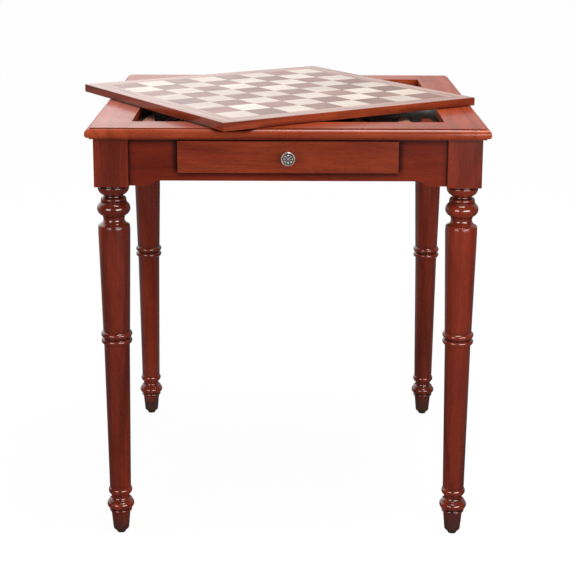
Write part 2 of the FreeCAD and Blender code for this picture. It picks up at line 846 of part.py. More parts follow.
def cleat(label, quarter, half):
    """A strip glued inside an apron and under the rail above it."""
    edges = (-apron_inside, -apron_inside + cell.cleat)
    if quarter == 2:
        return plank(label, table, both_sides(half), (-edges[1], -edges[0]), (cleat_low, under_top))
    across = edges if quarter == 3 else (-edges[1], -edges[0])
    return plank(label, table, across, both_sides(half), (cleat_low, under_top))


cleat_low = under_top - cell.cleat
side_cleat = leg_inside - cell.cleat_inset
keep(cleat("cleat_right", 1, side_cleat))
keep(cleat("cleat_back", 2, runner_inner - cell.side_thick))
keep(cleat("cleat_left", 3, side_cleat))


# ---------------------------------------------------------------- the drawer
# A box of four sides and a bottom, with a wider front glued on that laps over the opening.
box_front_back = box_front_face + cell.box_front
side_start = box_front_face + cell.box_front / 2      # sides stop half way into the box front
bottom_low = box_low + cell.bottom_up
bottom_top = bottom_low + cell.bottom_thick
side_inside = box_half - cell.side_thick
groove_level = (bottom_low - cell.fit_play / 2, bottom_top + cell.fit_play / 2)
front_face = box_front_face - cell.front_thick


def drawer_front():
    """The show front: one flat board, glued to the box, with chamfered front arrises."""
    body = new_body("drawer_front", table)
    face = new_sketch(body, "XZ_Plane", apron_face)
    outline(face, rectangle(both_sides(cell.front_wide / 2), (front_low, front_top)))
    board_pad = pad(body, face, cell.front_thick)
    doc.recompute()
    names = []
    for number, edge in enumerate(board_pad.Shape.Edges, start=1):
        if max(abs(vertex.Y - front_face.value) for vertex in edge.Vertexes) < 0.001:
            names.append("Edge%d" % number)
    ease = body.newObject("PartDesign::Chamfer", "drawer_front_ease")
    ease.Base = (board_pad, names)
    bind(ease, "Size", cell.front_ease)
    body.Tip = ease
    shank = new_sketch(body, "XZ_Plane", apron_face - MARGIN)
    circle(shank, ZERO, knob_level, screw_hole)
    pocket(body, shank, cell.front_thick + MARGIN * 2)
    return body


keep(drawer_front())


def drawer_box_front():
    """The box's own front, rebated at its ends for the sides and grooved for the bottom."""
    body = new_body("drawer_box_front", table)
    plan = new_sketch(body, "XY_Plane", box_low)
    outline(plan, [
        (-box_half, box_front_face),
        (box_half, box_front_face),
        (box_half, side_start),
        (side_inside, side_start),
        (side_inside, box_front_back),
        (-side_inside, box_front_back),
        (-side_inside, side_start),
        (-box_half, side_start),
    ])
    pad(body, plan, box_top - box_low)
    groove = new_sketch(body, "YZ_Plane", -side_inside - MARGIN)
    across = (box_front_back - cell.groove_deep, box_front_back + MARGIN)
    outline(groove, rectangle(across, groove_level))
    pocket(body, groove, side_inside * 2 + MARGIN * 2)
    hole = new_sketch(body, "XZ_Plane", -box_front_back - MARGIN)
    circle(hole, ZERO, knob_level, screw_hole)
    pocket(body, hole, cell.box_front + MARGIN * 2)
    return body


keep(drawer_box_front())


def drawer_side(label, side):
    blank = plank(label + "_board", table, pair(side, side_inside, box_half), (side_start, box_end),
                  (box_low, box_top))
    reach = pair(side, side_inside - MARGIN, side_inside + cell.groove_deep)
    groove = plank(label + "_groove", table, reach, (side_start - MARGIN, box_end + MARGIN), groove_level)
    return cut(label, blank, groove)


keep(drawer_side("drawer_side_left", -1))
keep(drawer_side("drawer_side_right", 1))
keep(plank("drawer_back", table, both_sides(side_inside), (box_end - cell.side_thick, box_end),
           (bottom_top, box_top + cell.back_proud)))
bottom_in = cell.groove_deep - cell.fit_play          # how far the bottom goes into its grooves
keep(plank("drawer_bottom", table, both_sides(side_inside + bottom_in),
           (box_front_back - bottom_in, box_end), (bottom_low, bottom_top)))


def knob_screw():
    """The screw that holds the knob, its head on the inner face of the box front."""
    body = new_body("knob_screw", table)
    inner = -box_front_back - cell.head_thick         # heights count forwards from the middle
    reach = cell.head_thick + cell.box_front + cell.front_thick + cell.screw_in
    for radius, length in ((cell.screw_head / 2, cell.head_thick), (cell.screw_dia / 2, reach)):
        face = new_sketch(body, "XZ_Plane", inner)
        circle(face, ZERO, knob_level, radius)
        pad(body, face, length)
    return body


keep(knob_screw())


def knob():
    """A cast knob: a flared stem and a broad rim round a sunken face with a boss."""
    edge = cell.knob_dia / 2
    rim = cell.knob_out - cell.rim_tall
    floor = cell.knob_out - cell.dish_deep
    steps = [
        (cell.knob_foot / 2, ZERO),
        (cell.knob_stem / 2, cell.knob_stem_up),
        (edge - cell.rim_ease, rim),
        (edge, rim + cell.rim_ease),
        (edge, cell.knob_out - cell.rim_ease),
        (edge - cell.rim_ease, cell.knob_out),
        (edge - cell.rim_wide, floor),
        (cell.boss_dia / 2, floor + cell.dish_rise),
        (cell.boss_dia / 4, cell.knob_out),
    ]
    casting = turned("casting", [ring("knob_ring", radius, height) for radius, height in steps])
    hole = doc.addObject("Part::Cylinder", "knob_hole")
    bind(hole, "Radius", screw_hole)
    bind(hole, "Height", cell.screw_in + cell.fit_play + MARGIN)
    forwards = FreeCAD.Rotation(FreeCAD.Vector(1, 0, 0), QUARTER)
    for thing, start in ((casting, front_face), (hole, front_face + MARGIN)):
        place(thing, table, ZERO, start, knob_level)
        thing.Placement = FreeCAD.Placement(thing.Placement.Base, forwards)
    return cut("knob", casting, hole)


keep(knob())


# ---------------------------------------------------------------- the loose board
# A core with a backing and a face of veneers, edged all round with solid wood mitred at the
# corners.  The square at the corner nearest the front is a light one.
board_half = cell.board_side / 2
core_half = board_half - cell.lipping
squares_half = cell.square * 4
board_low = cell.top_height
core_low = board_low + cell.veneer
core_top = board_low + cell.board_thick - cell.veneer

keep(plank("board_core", board, both_sides(core_half), both_sides(core_half), (core_low, core_top)))
keep(plank("board_backing", board, both_sides(core_half), both_sides(core_half), (board_low, core_low)))


def quarter_turn(steps, quarters):
    """Turn outline steps about the middle by quarter turns."""
    for _ in range(quarters):
        steps = [(-size(step[1]), step[0]) for step in steps]
    return steps


def mitred(outer, inner, gap=ZERO):
    """One side of a mitred square frame, at the front."""
    return [(-outer + gap, -outer), (outer - gap, -outer), (inner - gap, -inner), (-inner + gap, -inner)]


for quarters, name in enumerate(("front", "right", "back", "left")):
    lipping = new_body("board_lipping_" + name, board)
    plan = new_sketch(lipping, "XY_Plane", board_low)
    outline(plan, quarter_turn(mitred(board_half, core_half), quarters))
    pad(lipping, plan, cell.board_thick)
    keep(lipping)


def board_border():
    """Four mitred strips of veneer round the squares."""
    body = new_body("board_border", board)
    plan = new_sketch(body, "XY_Plane", core_top)
    inner = squares_half + cell.joint_line
    for quarters in range(4):
        outline(plan, quarter_turn(mitred(core_half, inner, cell.joint_line), quarters))
    pad(body, plan, cell.veneer)
    return body


keep(board_border())


def squares(label, parity):
    """Half of the board's squares: two of them, repeated four times each way."""
    body = new_body(label, board)
    plan = new_sketch(body, "XY_Plane", core_top)
    for row in range(2):
        column = (row + parity) % 2
        left = -squares_half + cell.square * column + cell.joint_line / 2
        low = -squares_half + cell.square * row + cell.joint_line / 2
        side = cell.square - cell.joint_line
        outline(plan, rectangle((left, left + side), (low, low + side)))
    first = pad(body, plan, cell.veneer)
    grid = body.newObject("PartDesign::MultiTransform", label + "_grid")
    grid.Originals = [first]
    runs = []
    for axis in ("X_Axis", "Y_Axis"):
        run = body.newObject("PartDesign::LinearPattern", label + "_" + axis)
        run.Direction = (origin_part(body, axis), [""])
        run.Occurrences = 4
        bind(run, "Length", cell.square * 6)
        runs.append(run)
    grid.Transformations = runs
    body.Tip = grid
    return body


keep(squares("squares_light", 0))
keep(squares("squares_dark", 1))


# ---------------------------------------------------------------- check and write
def check(piece):
    """Stop unless a sub-part has a whole, valid shape."""
    shape = piece.Shape
    if shape.isNull() or not shape.isValid() or not shape.Solids:
        raise ValueError("%s has no valid shape" % piece.Label)


def check_document():
    """Stop if a feature failed or a pocket cut nothing."""
    for thing in doc.Objects:
        if "Invalid" in thing.State or "Error" in thing.State:
            raise ValueError("%s failed: %s" % (thing.Label, thing.State))
        if thing.TypeId == "PartDesign::Pocket":
            if thing.Shape.Volume > thing.BaseFeature.Shape.Volume - 0.1:
                raise ValueError("%s cuts nothing" % thing.Label)


doc.recompute()
check_document()
for piece in pieces:
    check(piece)

os.makedirs("parts", exist_ok=True)
for piece in pieces:
    piece.Shape.exportStep("parts/%s.step" % piece.Label)
print("wrote %d sub-parts" % len(pieces))
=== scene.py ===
# %% [markdown]
# # A chess table with an inlaid board
#
# This lesson dresses a games table: four turned legs, an apron with one drawer, a framed top with
# a shallow backgammon well, and a loose chess board lying askew over it.  The plain solids come
# from the maker's model and stay where they are.  We turn finer legs, mould a finer top, cast the
# knob, and give every piece of wood and metal a finish worked out from its own coordinates.

# %% Load the plain model
import math

import bpy
from mathutils import Matrix, Vector


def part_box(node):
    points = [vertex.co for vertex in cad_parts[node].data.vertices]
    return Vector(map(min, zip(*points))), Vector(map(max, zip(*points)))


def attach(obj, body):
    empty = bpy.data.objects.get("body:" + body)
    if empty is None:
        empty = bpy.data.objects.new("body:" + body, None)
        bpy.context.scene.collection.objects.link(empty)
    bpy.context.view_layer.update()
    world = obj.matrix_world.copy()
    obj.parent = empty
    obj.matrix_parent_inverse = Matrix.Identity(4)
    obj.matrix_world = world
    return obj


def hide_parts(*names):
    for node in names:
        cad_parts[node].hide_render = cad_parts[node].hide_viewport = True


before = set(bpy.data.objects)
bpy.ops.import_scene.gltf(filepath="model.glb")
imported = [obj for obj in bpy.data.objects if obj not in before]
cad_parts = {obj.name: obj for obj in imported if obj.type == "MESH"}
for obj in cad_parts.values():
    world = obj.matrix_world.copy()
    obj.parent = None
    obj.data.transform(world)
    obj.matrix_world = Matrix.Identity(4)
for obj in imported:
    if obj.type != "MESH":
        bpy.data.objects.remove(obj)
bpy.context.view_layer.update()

# %% [markdown]
# ## Measures
#
# Everything is placed from the plain model, so nothing has to be fitted by eye.  The table's
# middle is the middle of the panel under its playing field, because the board is turned and so
# would give a wrong middle.  Blender works in metres; the members of the legs are set out in
# millimetres, as a turner would write them, and multiplied by MM.

# %% Measures taken from the plain model
MM = 0.001
SIDES = ("front", "right", "back", "left")

panel_low, panel_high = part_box("field_panel")
MIDDLE = (panel_low + panel_high) / 2
rail_low, rail_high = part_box("top_rail_right")
FACE = rail_high.z  # face of the top
UNDER = rail_low.z  # underside of the top
HALF_TOP = rail_high.x - MIDDLE.x
WELL = rail_low.x - MIDDLE.x  # half of the opening in the top
PANEL = panel_high.x - MIDDLE.x  # half of the panel, which runs under the rails
BOARD_TURN = math.radians(32.8)  # how far the loose board is turned
print("middle", tuple(MIDDLE), "half top", HALF_TOP, "half well", WELL)

# %% [markdown]
# ## Helpers for working as by hand
#
# An operator works on whatever is selected, and the plain model arrives selected, so each new
# piece begins by letting go of everything.  A finished piece has its place in its mesh and its
# object at the origin, so that patterns which read object coordinates stay put.  Its edges are
# shaded smooth up to an angle, the crease.  That angle has to be smaller than the turn from a flat
# face to the first facet of its rounded edge, or the flat face is shaded as if it bulged.

# %% Start and finish a piece
CREASE = 30  # degrees; sharper edges stay sharp


def let_go():
    """Leave edit mode and deselect everything."""
    if bpy.context.object and bpy.context.object.mode != "OBJECT":
        bpy.ops.object.mode_set(mode="OBJECT")
    bpy.ops.object.select_all(action="DESELECT")


def pick(*pieces):
    """Select these pieces, the first one active."""
    let_go()
    for piece in pieces:
        piece.select_set(True)
    bpy.context.view_layer.objects.active = pieces[0]


def settle(piece, name, crease=CREASE):
    """Name a piece, put its place into its mesh and smooth all but its sharp edges."""
    pick(piece)
    bpy.ops.object.transform_apply(location=True, rotation=True, scale=True)
    bpy.ops.object.shade_smooth_by_angle(angle=math.radians(crease))
    piece.name = name
    piece.data.name = name
    print(name, len(piece.data.vertices), "vertices")
    return piece


def apply_modifier(piece, kind, **settings):
    """Add a modifier, set it and apply it."""
    pick(piece)
    modifier = piece.modifiers.new(kind, kind)
    for setting, value in settings.items():
        setattr(modifier, setting, value)
    bpy.ops.object.modifier_apply(modifier=modifier.name)


def copy_of(piece, offset):
    """A copy with its own mesh, moved by offset."""
    pick(piece)
    bpy.ops.object.duplicate()
    made = bpy.context.object
    made.location += Vector(offset)
    return made


def join(pieces):
    """Make one piece of several."""
    pick(*pieces)
    bpy.ops.object.join()
    return bpy.context.object


print("helpers ready; edges up to", CREASE, "degrees are shaded smooth")

# %% [markdown]
# ## The turned legs
#
# A leg is one stick of mahogany: a square block above, and below it a column turned on a lathe
# into beads, hollows, rings and two tapered shafts.  It could be a stack of cylinders, but a lathe
# works from one outline, and so does the Spin operator.  We write the outline as radius and
# height, with a bulge where the tool left a round, then pull one vertex along it and spin it.

# %% The outline of a turned leg, in millimetres
# Radius, height, and how far the way to the next point swells out (hollow if negative).
FOOT_MEMBERS = [(0, 0), (9.8, 0, 1.5), (14.5, 5.6), (17.4, 36.4), (17.8, 37, 2.6), (18.2, 43.6),
                (19, 44, 4.9), (20.6, 58.6), (21.2, 58.6), (21.2, 60.4, -1.6), (16.4, 67.6),
                (16.4, 70.2), (17.4, 71.2, 3.4), (19, 84.6), (19.3, 85.4)]
RING_MEMBERS = [(23.1, -12.4), (23.4, -11.6, 4.2), (23.6, -0.6), (23.6, 0.6, 4.2), (23.8, 11.6),
                (24.1, 12.4)]
HEAD_MEMBERS = [(28.4, -83.6), (28.3, -82.6, 0.15), (27.8, -75.2, 0.6), (26.6, -72.4), (26, -72, -2.2),
                (18.6, -61.4), (18.6, -59.2), (19.6, -59.2), (19.6, -56.8), (18.6, -56, 8.9),
                (22.2, -31.6), (23, -31.6), (23, -29.6), (21.4, -29.6, 2.4), (19, -22.4),
                (17.8, -21.8, -0.6), (18.2, -18.2), (19, -18.2, 2.0), (27.8, -6.4, 0.7), (26.6, -2.2),
                (25, -2.2), (25, 1), (0, 1)]
BLOCK_LONG = 86 * MM
RING_LEVEL = 378.2 * MM
FOOT_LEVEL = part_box("glides")[1].z
ROUND_PARTS = 9  # straight parts in each round of an outline


def round_between(start, end, bulge):
    """Points on the arc from start to end that swells out by bulge, to the right of the way."""
    chord = end - start
    side = Vector((chord.y, -chord.x)).normalized() * math.copysign(1, bulge)
    half = 2 * math.atan(2 * abs(bulge) / chord.length)
    radius = chord.length / 2 / math.sin(half)
    centre = (start + end) / 2 + side * (abs(bulge) - radius)
    ahead = chord.normalized()
    points = []
    for part in range(1, ROUND_PARTS):
        turn = half * (2 * part / ROUND_PARTS - 1)
        points.append(centre + (ahead * math.sin(turn) + side * math.cos(turn)) * radius)
    return points


def profile(steps):
    """Every point of an outline, in metres, from steps of radius, height and bulge in millimetres."""
    points = []
    for index, step in enumerate(steps):
        start = Vector(step[:2])
        points.append(start)
        if len(step) > 2:
            points += round_between(start, Vector(steps[index + 1][:2]), step[2])
    return [point * MM for point in points]


def raised(points, level):
    """The same points, level higher."""
    return [point + Vector((0, level)) for point in points]


leg_low, leg_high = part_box("leg_front_left")
BLOCK_LOW = leg_high.z - BLOCK_LONG
leg_outline = raised(profile(FOOT_MEMBERS), FOOT_LEVEL)
leg_outline += raised(profile(RING_MEMBERS), RING_LEVEL)
leg_outline += raised(profile(HEAD_MEMBERS), BLOCK_LOW)
print("a leg's outline has", len(leg_outline), "points")

# %% [markdown]
# Turning: a small plane is merged to one vertex, which is the point where the turner's pencil
# starts.  Each extrude draws the next straight part.  Spin then carries the line round the axis,
# and merging by distance closes the seam and the two poles.

# %% Turn an outline
LEG_FACETS = 72
SEAM = 0.002 * MM  # points nearer to each other than this are merged


def turn(outline, centre, facets):
    """Spin an outline of radius and height about the upright line through centre."""
    let_go()
    points = [Vector((centre.x + radius, centre.y, height)) for radius, height in outline]
    bpy.ops.mesh.primitive_plane_add(size=MM, location=points[0])
    piece = bpy.context.object
    bpy.ops.object.mode_set(mode="EDIT")
    bpy.ops.mesh.select_mode(type="VERT")
    bpy.ops.mesh.merge(type="CENTER")
    for here, there in zip(points, points[1:]):
        bpy.ops.mesh.extrude_region_move(TRANSFORM_OT_translate={"value": there - here})
    bpy.ops.mesh.select_all(action="SELECT")
    foot = Vector((centre.x, centre.y, 0))
    bpy.ops.mesh.spin(steps=facets, angle=math.tau, center=foot, axis=(0, 0, 1))
    bpy.ops.mesh.select_all(action="SELECT")
    bpy.ops.mesh.remove_doubles(threshold=SEAM)
    bpy.ops.mesh.normals_make_consistent(inside=False)
    bpy.ops.object.mode_set(mode="OBJECT")
    return piece


def leg_centre(corner):
    """The middle of a leg's box."""
    low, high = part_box("leg_" + corner)
    return (low + high) / 2


first_centre = leg_centre("front_left")
turning = turn(leg_outline, first_centre, LEG_FACETS)
print("turned", len(turning.data.vertices), "vertices, height", turning.dimensions.z)

# %% [markdown]
# The square block above the turning keeps the section of the sawn stick.  All its edges are eased
# with a bevel of one facet, as sandpaper would leave them, and it is joined to the turning because
# the real leg is one piece.

# %% The square block of a leg, and the four legs
ARRIS = 0.4 * MM  # how wide the eased edge is
LEG_CREASE = 21  # degrees; keeps the edges of the turned members crisp
block_side = leg_high.x - leg_low.x
block_middle = Vector((first_centre.x, first_centre.y, (BLOCK_LOW + leg_high.z) / 2))
let_go()
bpy.ops.mesh.primitive_cube_add(size=1, location=block_middle,
                                scale=(block_side, block_side, BLOCK_LONG))
block = bpy.context.object
bpy.ops.object.transform_apply(location=False, rotation=False, scale=True)
apply_modifier(block, "BEVEL", width=ARRIS, segments=1, limit_method="ANGLE")
first_leg = join([turning, block])
legs = {"front_left": first_leg}
for corner in ("front_right", "back_right", "back_left"):
    legs[corner] = copy_of(first_leg, leg_centre(corner) - first_centre)
for corner, leg in legs.items():
    settle(leg, "turned_leg_" + corner, LEG_CREASE)
    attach(leg, "table")
    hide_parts("leg_" + corner)

# %% [markdown]
# ## The moulded top
#
# The top is a frame of four rails whose outer edge is moulded all round: a small step, a full
# round, a short flat and a smaller round below.  Cut as one square slab, the moulding mitres itself
# at the corners.  So the slab is pulled down ring by ring from one plane, each ring scaled to the
# moulding's outline, and then it is sawn into rails with Bisect, just where the joints are.

# %% The moulding as rings: how far in from the edge, and how far below the face, in millimetres
QUIRK = (1.8, 0.9)  # step under the flat: how tall, how far out
OVOLO = (8.2, 7.3)  # upper round: how tall, how wide
NOSE = 2.0  # flat between the rounds
UNDER_ROUND = 5.6  # lower round: as tall as it is wide
UNDER_FILLET = 1.4  # step in from the lower round
QUARTER_PARTS = 8  # straight parts in each round
PANEL_PLAY = 0.2 * MM  # room round the panel in its rebate


def quarter(number):
    """Sine and one less cosine of a part of a quarter turn."""
    angle = math.pi / 2 * number / QUARTER_PARTS
    return math.sin(angle), 1 - math.cos(angle)


def moulding_rings():
    """The moulding from the face down to the underside."""
    rings = [(OVOLO[1] + QUIRK[1], 0), (OVOLO[1] + QUIRK[1], QUIRK[0])]
    for number in range(QUARTER_PARTS + 1):
        across, down = quarter(number)
        rings.append((OVOLO[1] * (1 - across), QUIRK[0] + OVOLO[0] * down))
    lower = QUIRK[0] + OVOLO[0] + NOSE
    for number in range(QUARTER_PARTS + 1):
        across, down = quarter(QUARTER_PARTS - number)
        rings.append((UNDER_ROUND * (1 - across), lower + UNDER_ROUND * (1 - down)))
    inner = UNDER_ROUND + UNDER_FILLET
    return rings + [(inner, lower + UNDER_ROUND), (inner, (FACE - UNDER) / MM)]


rings = [(HALF_TOP - inset * MM, FACE - drop * MM) for inset, drop in moulding_rings()]
rebate_half = PANEL + PANEL_PLAY
rings += [(rebate_half, UNDER), (rebate_half, panel_high.z)]
print(len(rings), "rings from the face to the rebate for the panel")

# %% Pull the slab down ring by ring
def slab_of_rings(rings):
    """A square solid whose level sections are the rings (half side, height)."""
    let_go()
    half, level = rings[0]
    bpy.ops.mesh.primitive_plane_add(size=half * 2, location=(MIDDLE.x, MIDDLE.y, level))
    bpy.ops.object.mode_set(mode="EDIT")
    for next_half, next_level in rings[1:]:
        drop = (0, 0, next_level - level)
        bpy.ops.mesh.extrude_region_move(TRANSFORM_OT_translate={"value": drop})
        grow = next_half / half
        middle = (MIDDLE.x, MIDDLE.y, next_level)
        bpy.ops.transform.resize(value=(grow, grow, 1), center_override=middle)
        half, level = next_half, next_level
    bpy.ops.mesh.select_all(action="SELECT")
    bpy.ops.mesh.normals_make_consistent(inside=False)
    bpy.ops.object.mode_set(mode="OBJECT")
    return bpy.context.object


slab = settle(slab_of_rings(rings), "slab")
print("slab", tuple(slab.dimensions))

# %% [markdown]
# Sawing: each rail is a copy of the slab with everything on the waste side of its joints cleared
# and the cut filled.  The side rails run the whole depth; the front and back rails stand between.

# %% Saw the slab into four rails
def saw(piece, point, keep_towards):
    """Cut a piece with an upright plane and keep what lies in one direction."""
    pick(piece)
    bpy.ops.object.mode_set(mode="EDIT")
    bpy.ops.mesh.select_all(action="SELECT")
    bpy.ops.mesh.bisect(plane_co=point, plane_no=keep_towards, use_fill=True, clear_inner=True,
                        threshold=1e-6)
    bpy.ops.object.mode_set(mode="OBJECT")


def sawn_rail(*cuts):
    """A copy of the slab after some cuts, each a place from the middle and the way to keep."""
    rail = copy_of(slab, (0, 0, 0))
    for place, keep_towards in cuts:
        saw(rail, MIDDLE + Vector(place), keep_towards)
    return rail


between = (((WELL, 0, 0), (-1, 0, 0)), ((-WELL, 0, 0), (1, 0, 0)))
rails = {}
for side, sign in (("right", 1), ("left", -1)):
    rails[side] = sawn_rail(((WELL * sign, 0, 0), (sign, 0, 0)))
for side, sign in (("back", 1), ("front", -1)):
    rails[side] = sawn_rail(((0, WELL * sign, 0), (0, sign, 0)), *between)
bpy.data.objects.remove(slab)
for side, rail in rails.items():
    settle(rail, "moulded_rail_" + side)
    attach(rail, "table")
    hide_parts("top_rail_" + side)

# %% [markdown]
# ## The drawer's front and the board's lippings
#
# Sharp wooden edges don't exist: sandpaper rounds them, and the little round catches the light as
# a thin pale line, which is what shows a flat drawer front against a flat apron.  A modifier could
# bevel every edge, but only the outside edges are rounded, so they are picked by their place.  The
# round has three facets, so its first one turns 15 degrees from the flat, and the crease is less.

# %% Ease chosen edges
EASE_FACETS = 3
EASED_CREASE = 12
FRONT_EASE = 1.5 * MM  # how much the drawer front's edges are rounded
LIPPING_EASE = 0.9 * MM
HAIR = 0.01 * MM  # how near two places are that count as one


def ease(piece, chosen, width):
    """Round the edges whose two ends are both chosen."""
    pick(piece)
    bpy.ops.object.mode_set(mode="EDIT")
    bpy.ops.mesh.select_mode(type="EDGE")
    bpy.ops.mesh.select_all(action="DESELECT")
    bpy.ops.object.mode_set(mode="OBJECT")
    for edge in piece.data.edges:
        ends = [piece.data.vertices[number].co for number in edge.vertices]
        edge.select = all(chosen(end) for end in ends)
    print(sum(edge.select for edge in piece.data.edges), "edges eased by", width / MM, "mm")
    bpy.ops.object.mode_set(mode="EDIT")
    bpy.ops.mesh.bevel(offset=width, segments=EASE_FACETS, affect="EDGES")
    bpy.ops.object.mode_set(mode="OBJECT")


def stick(low, high):
    """A straight stick of wood between two corners."""
    let_go()
    bpy.ops.mesh.primitive_cube_add(size=1, location=(low + high) / 2, scale=high - low)
    bpy.ops.object.transform_apply(location=True, rotation=False, scale=True)
    return bpy.context.object


# %% The drawer's front
front_low, front_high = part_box("drawer_front")
show_front = stick(front_low, front_high)
ease(show_front, lambda end: end.y < front_low.y + HAIR, FRONT_EASE)
settle(show_front, "eased_drawer_front", EASED_CREASE)
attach(show_front, "drawer")
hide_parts("drawer_front")

# %% [markdown]
# The board's edge is a thin lipping of solid wood on each side, mitred at the corners.  A stick is
# laid along the front, its outer edges are eased, its ends are sawn at 45 degrees, and it is turned
# about the board's middle to its own side, and then with the whole board.

# %% The board's lippings
HALF_BOARD = 275 * MM
LIPPING = 3.5 * MM  # how thick the lipping is
board_low, board_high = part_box("board_lipping_front")
lippings = {}
for quarter_turns, side in enumerate(SIDES):
    lipping = stick(Vector((-HALF_BOARD, -HALF_BOARD, board_low.z)),
                    Vector((HALF_BOARD, LIPPING - HALF_BOARD, board_high.z)))
    ease(lipping, lambda end: end.y < HAIR - HALF_BOARD, LIPPING_EASE)
    saw(lipping, Vector((-HALF_BOARD, -HALF_BOARD, 0)), (1, -1, 0))
    saw(lipping, Vector((HALF_BOARD, -HALF_BOARD, 0)), (-1, -1, 0))
    lipping.matrix_world = Matrix.Rotation(BOARD_TURN + math.radians(90) * quarter_turns, 4, "Z")
    settle(lipping, "eased_lipping_" + side, EASED_CREASE)
    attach(lipping, "board")
    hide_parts("board_lipping_" + side)
    lippings[side] = lipping

# %% [markdown]
# ## The knob
#
# The drawer's knob is cast and blackened pewter: a flared stem, a rolled rim, and a sunken face
# with a rosette of eight petals round a boss.  The round parts are turned like the legs, upright
# at first.  One petal is shaped from a ball, its inner half drawn narrow as a leaf is near its
# stalk, and copied round, each copy with its own mesh.  The whole knob is then tipped forward.

# %% The knob's turned body
KNOB_OUTLINE = [(0, 0), (7, 0), (7, 1.2, 0.3), (5.4, 2.6, -1.1), (4.6, 7.6, -1.9), (10.4, 14.4),
                (11.3, 15, 0.9), (11.8, 19.5, 0.5), (10.9, 20.8, 0.4), (10.2, 19.6), (9.8, 18.2, -0.3),
                (2.7, 17.9), (2, 18.4, 0.8), (0, 20.2)]
knob_low, knob_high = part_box("knob")
drawer_face = knob_high.y
knob_middle = Vector(((knob_low.x + knob_high.x) / 2, drawer_face, (knob_low.z + knob_high.z) / 2))
KNOB_FACETS = 64
knob_body = turn(profile(KNOB_OUTLINE), Vector((0, 0, 0)), KNOB_FACETS)
print("knob body", tuple(knob_body.dimensions))

# %% The petals of the rosette
PETALS = 8
PETAL_PLACE = Vector((6.3, 0, 18.3)) * MM
PETAL_HALF = (3.4, 2.25, 1.5)  # millimetres: half its length, width and height
STALK_SHARE = (1, 0.6, 0.8)  # what its inner half is drawn in to


def first_petal():
    """A leaf pointing outwards: a ball, flattened, with its inner half drawn narrow."""
    let_go()
    bpy.ops.mesh.primitive_uv_sphere_add(segments=20, ring_count=12, radius=MM,
                                         location=PETAL_PLACE, scale=PETAL_HALF)
    bpy.ops.object.transform_apply(location=True, rotation=True, scale=True)
    petal = bpy.context.object
    bpy.ops.object.mode_set(mode="EDIT")
    bpy.ops.mesh.select_all(action="DESELECT")
    bpy.ops.object.mode_set(mode="OBJECT")
    for vertex in petal.data.vertices:
        vertex.select = vertex.co.x < PETAL_PLACE.x - HAIR
    bpy.ops.object.mode_set(mode="EDIT")
    bpy.ops.mesh.select_mode(type="VERT")
    bpy.ops.transform.resize(value=STALK_SHARE, center_override=PETAL_PLACE)
    bpy.ops.object.mode_set(mode="OBJECT")
    return petal


petals = [first_petal()]
for number in range(1, PETALS):
    petal = copy_of(petals[0], (0, 0, 0))
    petal.matrix_world = Matrix.Rotation(math.tau * number / PETALS, 4, "Z")
    petals.append(petal)
knob = join([knob_body] + petals)
print(len(petals), "petals in a knob", knob.dimensions.x / MM, "mm across")

# %% [markdown]
# Tipping the knob: it was turned about the upright axis, with its back at the origin, so a quarter
# turn about X brings its face to the front, and a move puts its back on the drawer.

# %% Tip the knob and put it on the drawer
KNOB_CREASE = 40
knob.matrix_world = Matrix.Translation(knob_middle) @ Matrix.Rotation(math.radians(90), 4, "X")
settle(knob, "rosette_knob", KNOB_CREASE)
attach(knob, "drawer")
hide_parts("knob")

# %% [markdown]
# ## Building finishes from nodes
#
# Each finish is a small network.  A few helpers keep the cells short: one adds a node and fills
# its inputs with values or other nodes' outputs, and the rest add the nodes that are used most.

# %% Add nodes
def fill(tree, node, values):
    """Give inputs plain values, or link them to other nodes' outputs."""
    for name, value in values.items():
        if isinstance(value, bpy.types.NodeSocket):
            tree.links.new(value, node.inputs[name])
        else:
            node.inputs[name].default_value = value
    return node


def add(tree, kind, inputs=None, **settings):
    """Add a node, with its settings and inputs."""
    made = tree.nodes.new("ShaderNode" + kind)
    for name, value in settings.items():
        setattr(made, name, value)
    return fill(tree, made, inputs or {})


def mixed(tree, factor, first, second, mode="MIX"):
    """Mix two colours, whose sockets on a Mix node are numbers 6 and 7."""
    made = add(tree, "Mix", {0: factor}, data_type="RGBA", blend_type=mode)
    return fill(tree, made, {6: first, 7: second}).outputs[2]


def blended(tree, factor, first, second):
    """Mix two numbers, whose sockets are numbers 2 and 3."""
    return add(tree, "Mix", {0: factor, 2: first, 3: second}).outputs[0]


def maths(tree, operation, first, second=0.0, clamp=False):
    """Work out a number from one or two others; clamp keeps it between 0 and 1."""
    made = add(tree, "Math", {0: first, 1: second}, operation=operation, use_clamp=clamp)
    return made.outputs[0]


def object_place(tree):
    """Where a point is on its object, in metres."""
    return add(tree, "TexCoord").outputs["Object"]


def upward(tree, vector):
    """The upright part of a vector."""
    return add(tree, "SeparateXYZ", {0: vector}).outputs[2]


def scaled(tree, vector, by):
    """Coordinates multiplied by a number for each direction."""
    return add(tree, "Mapping", {"Vector": vector, "Scale": by}).outputs[0]


def spread(tree, value, low, high, out_low=0.0, out_high=1.0):
    """Stretch the part of a value between low and high to a new range."""
    made = add(tree, "MapRange", {"Value": value, "From Min": low, "From Max": high,
                                  "To Min": out_low, "To Max": out_high})
    return made.outputs[0]


def noise(tree, vector, fine, detail=2.0, roughness=0.5, distortion=0.0):
    """Noise, as fine as one number says, or as one for each direction."""
    if isinstance(fine, tuple):
        vector, fine = scaled(tree, vector, fine), 1.0
    made = add(tree, "TexNoise", {"Vector": vector, "Scale": fine, "Detail": detail,
                                  "Roughness": roughness, "Distortion": distortion})
    return made.outputs[0]


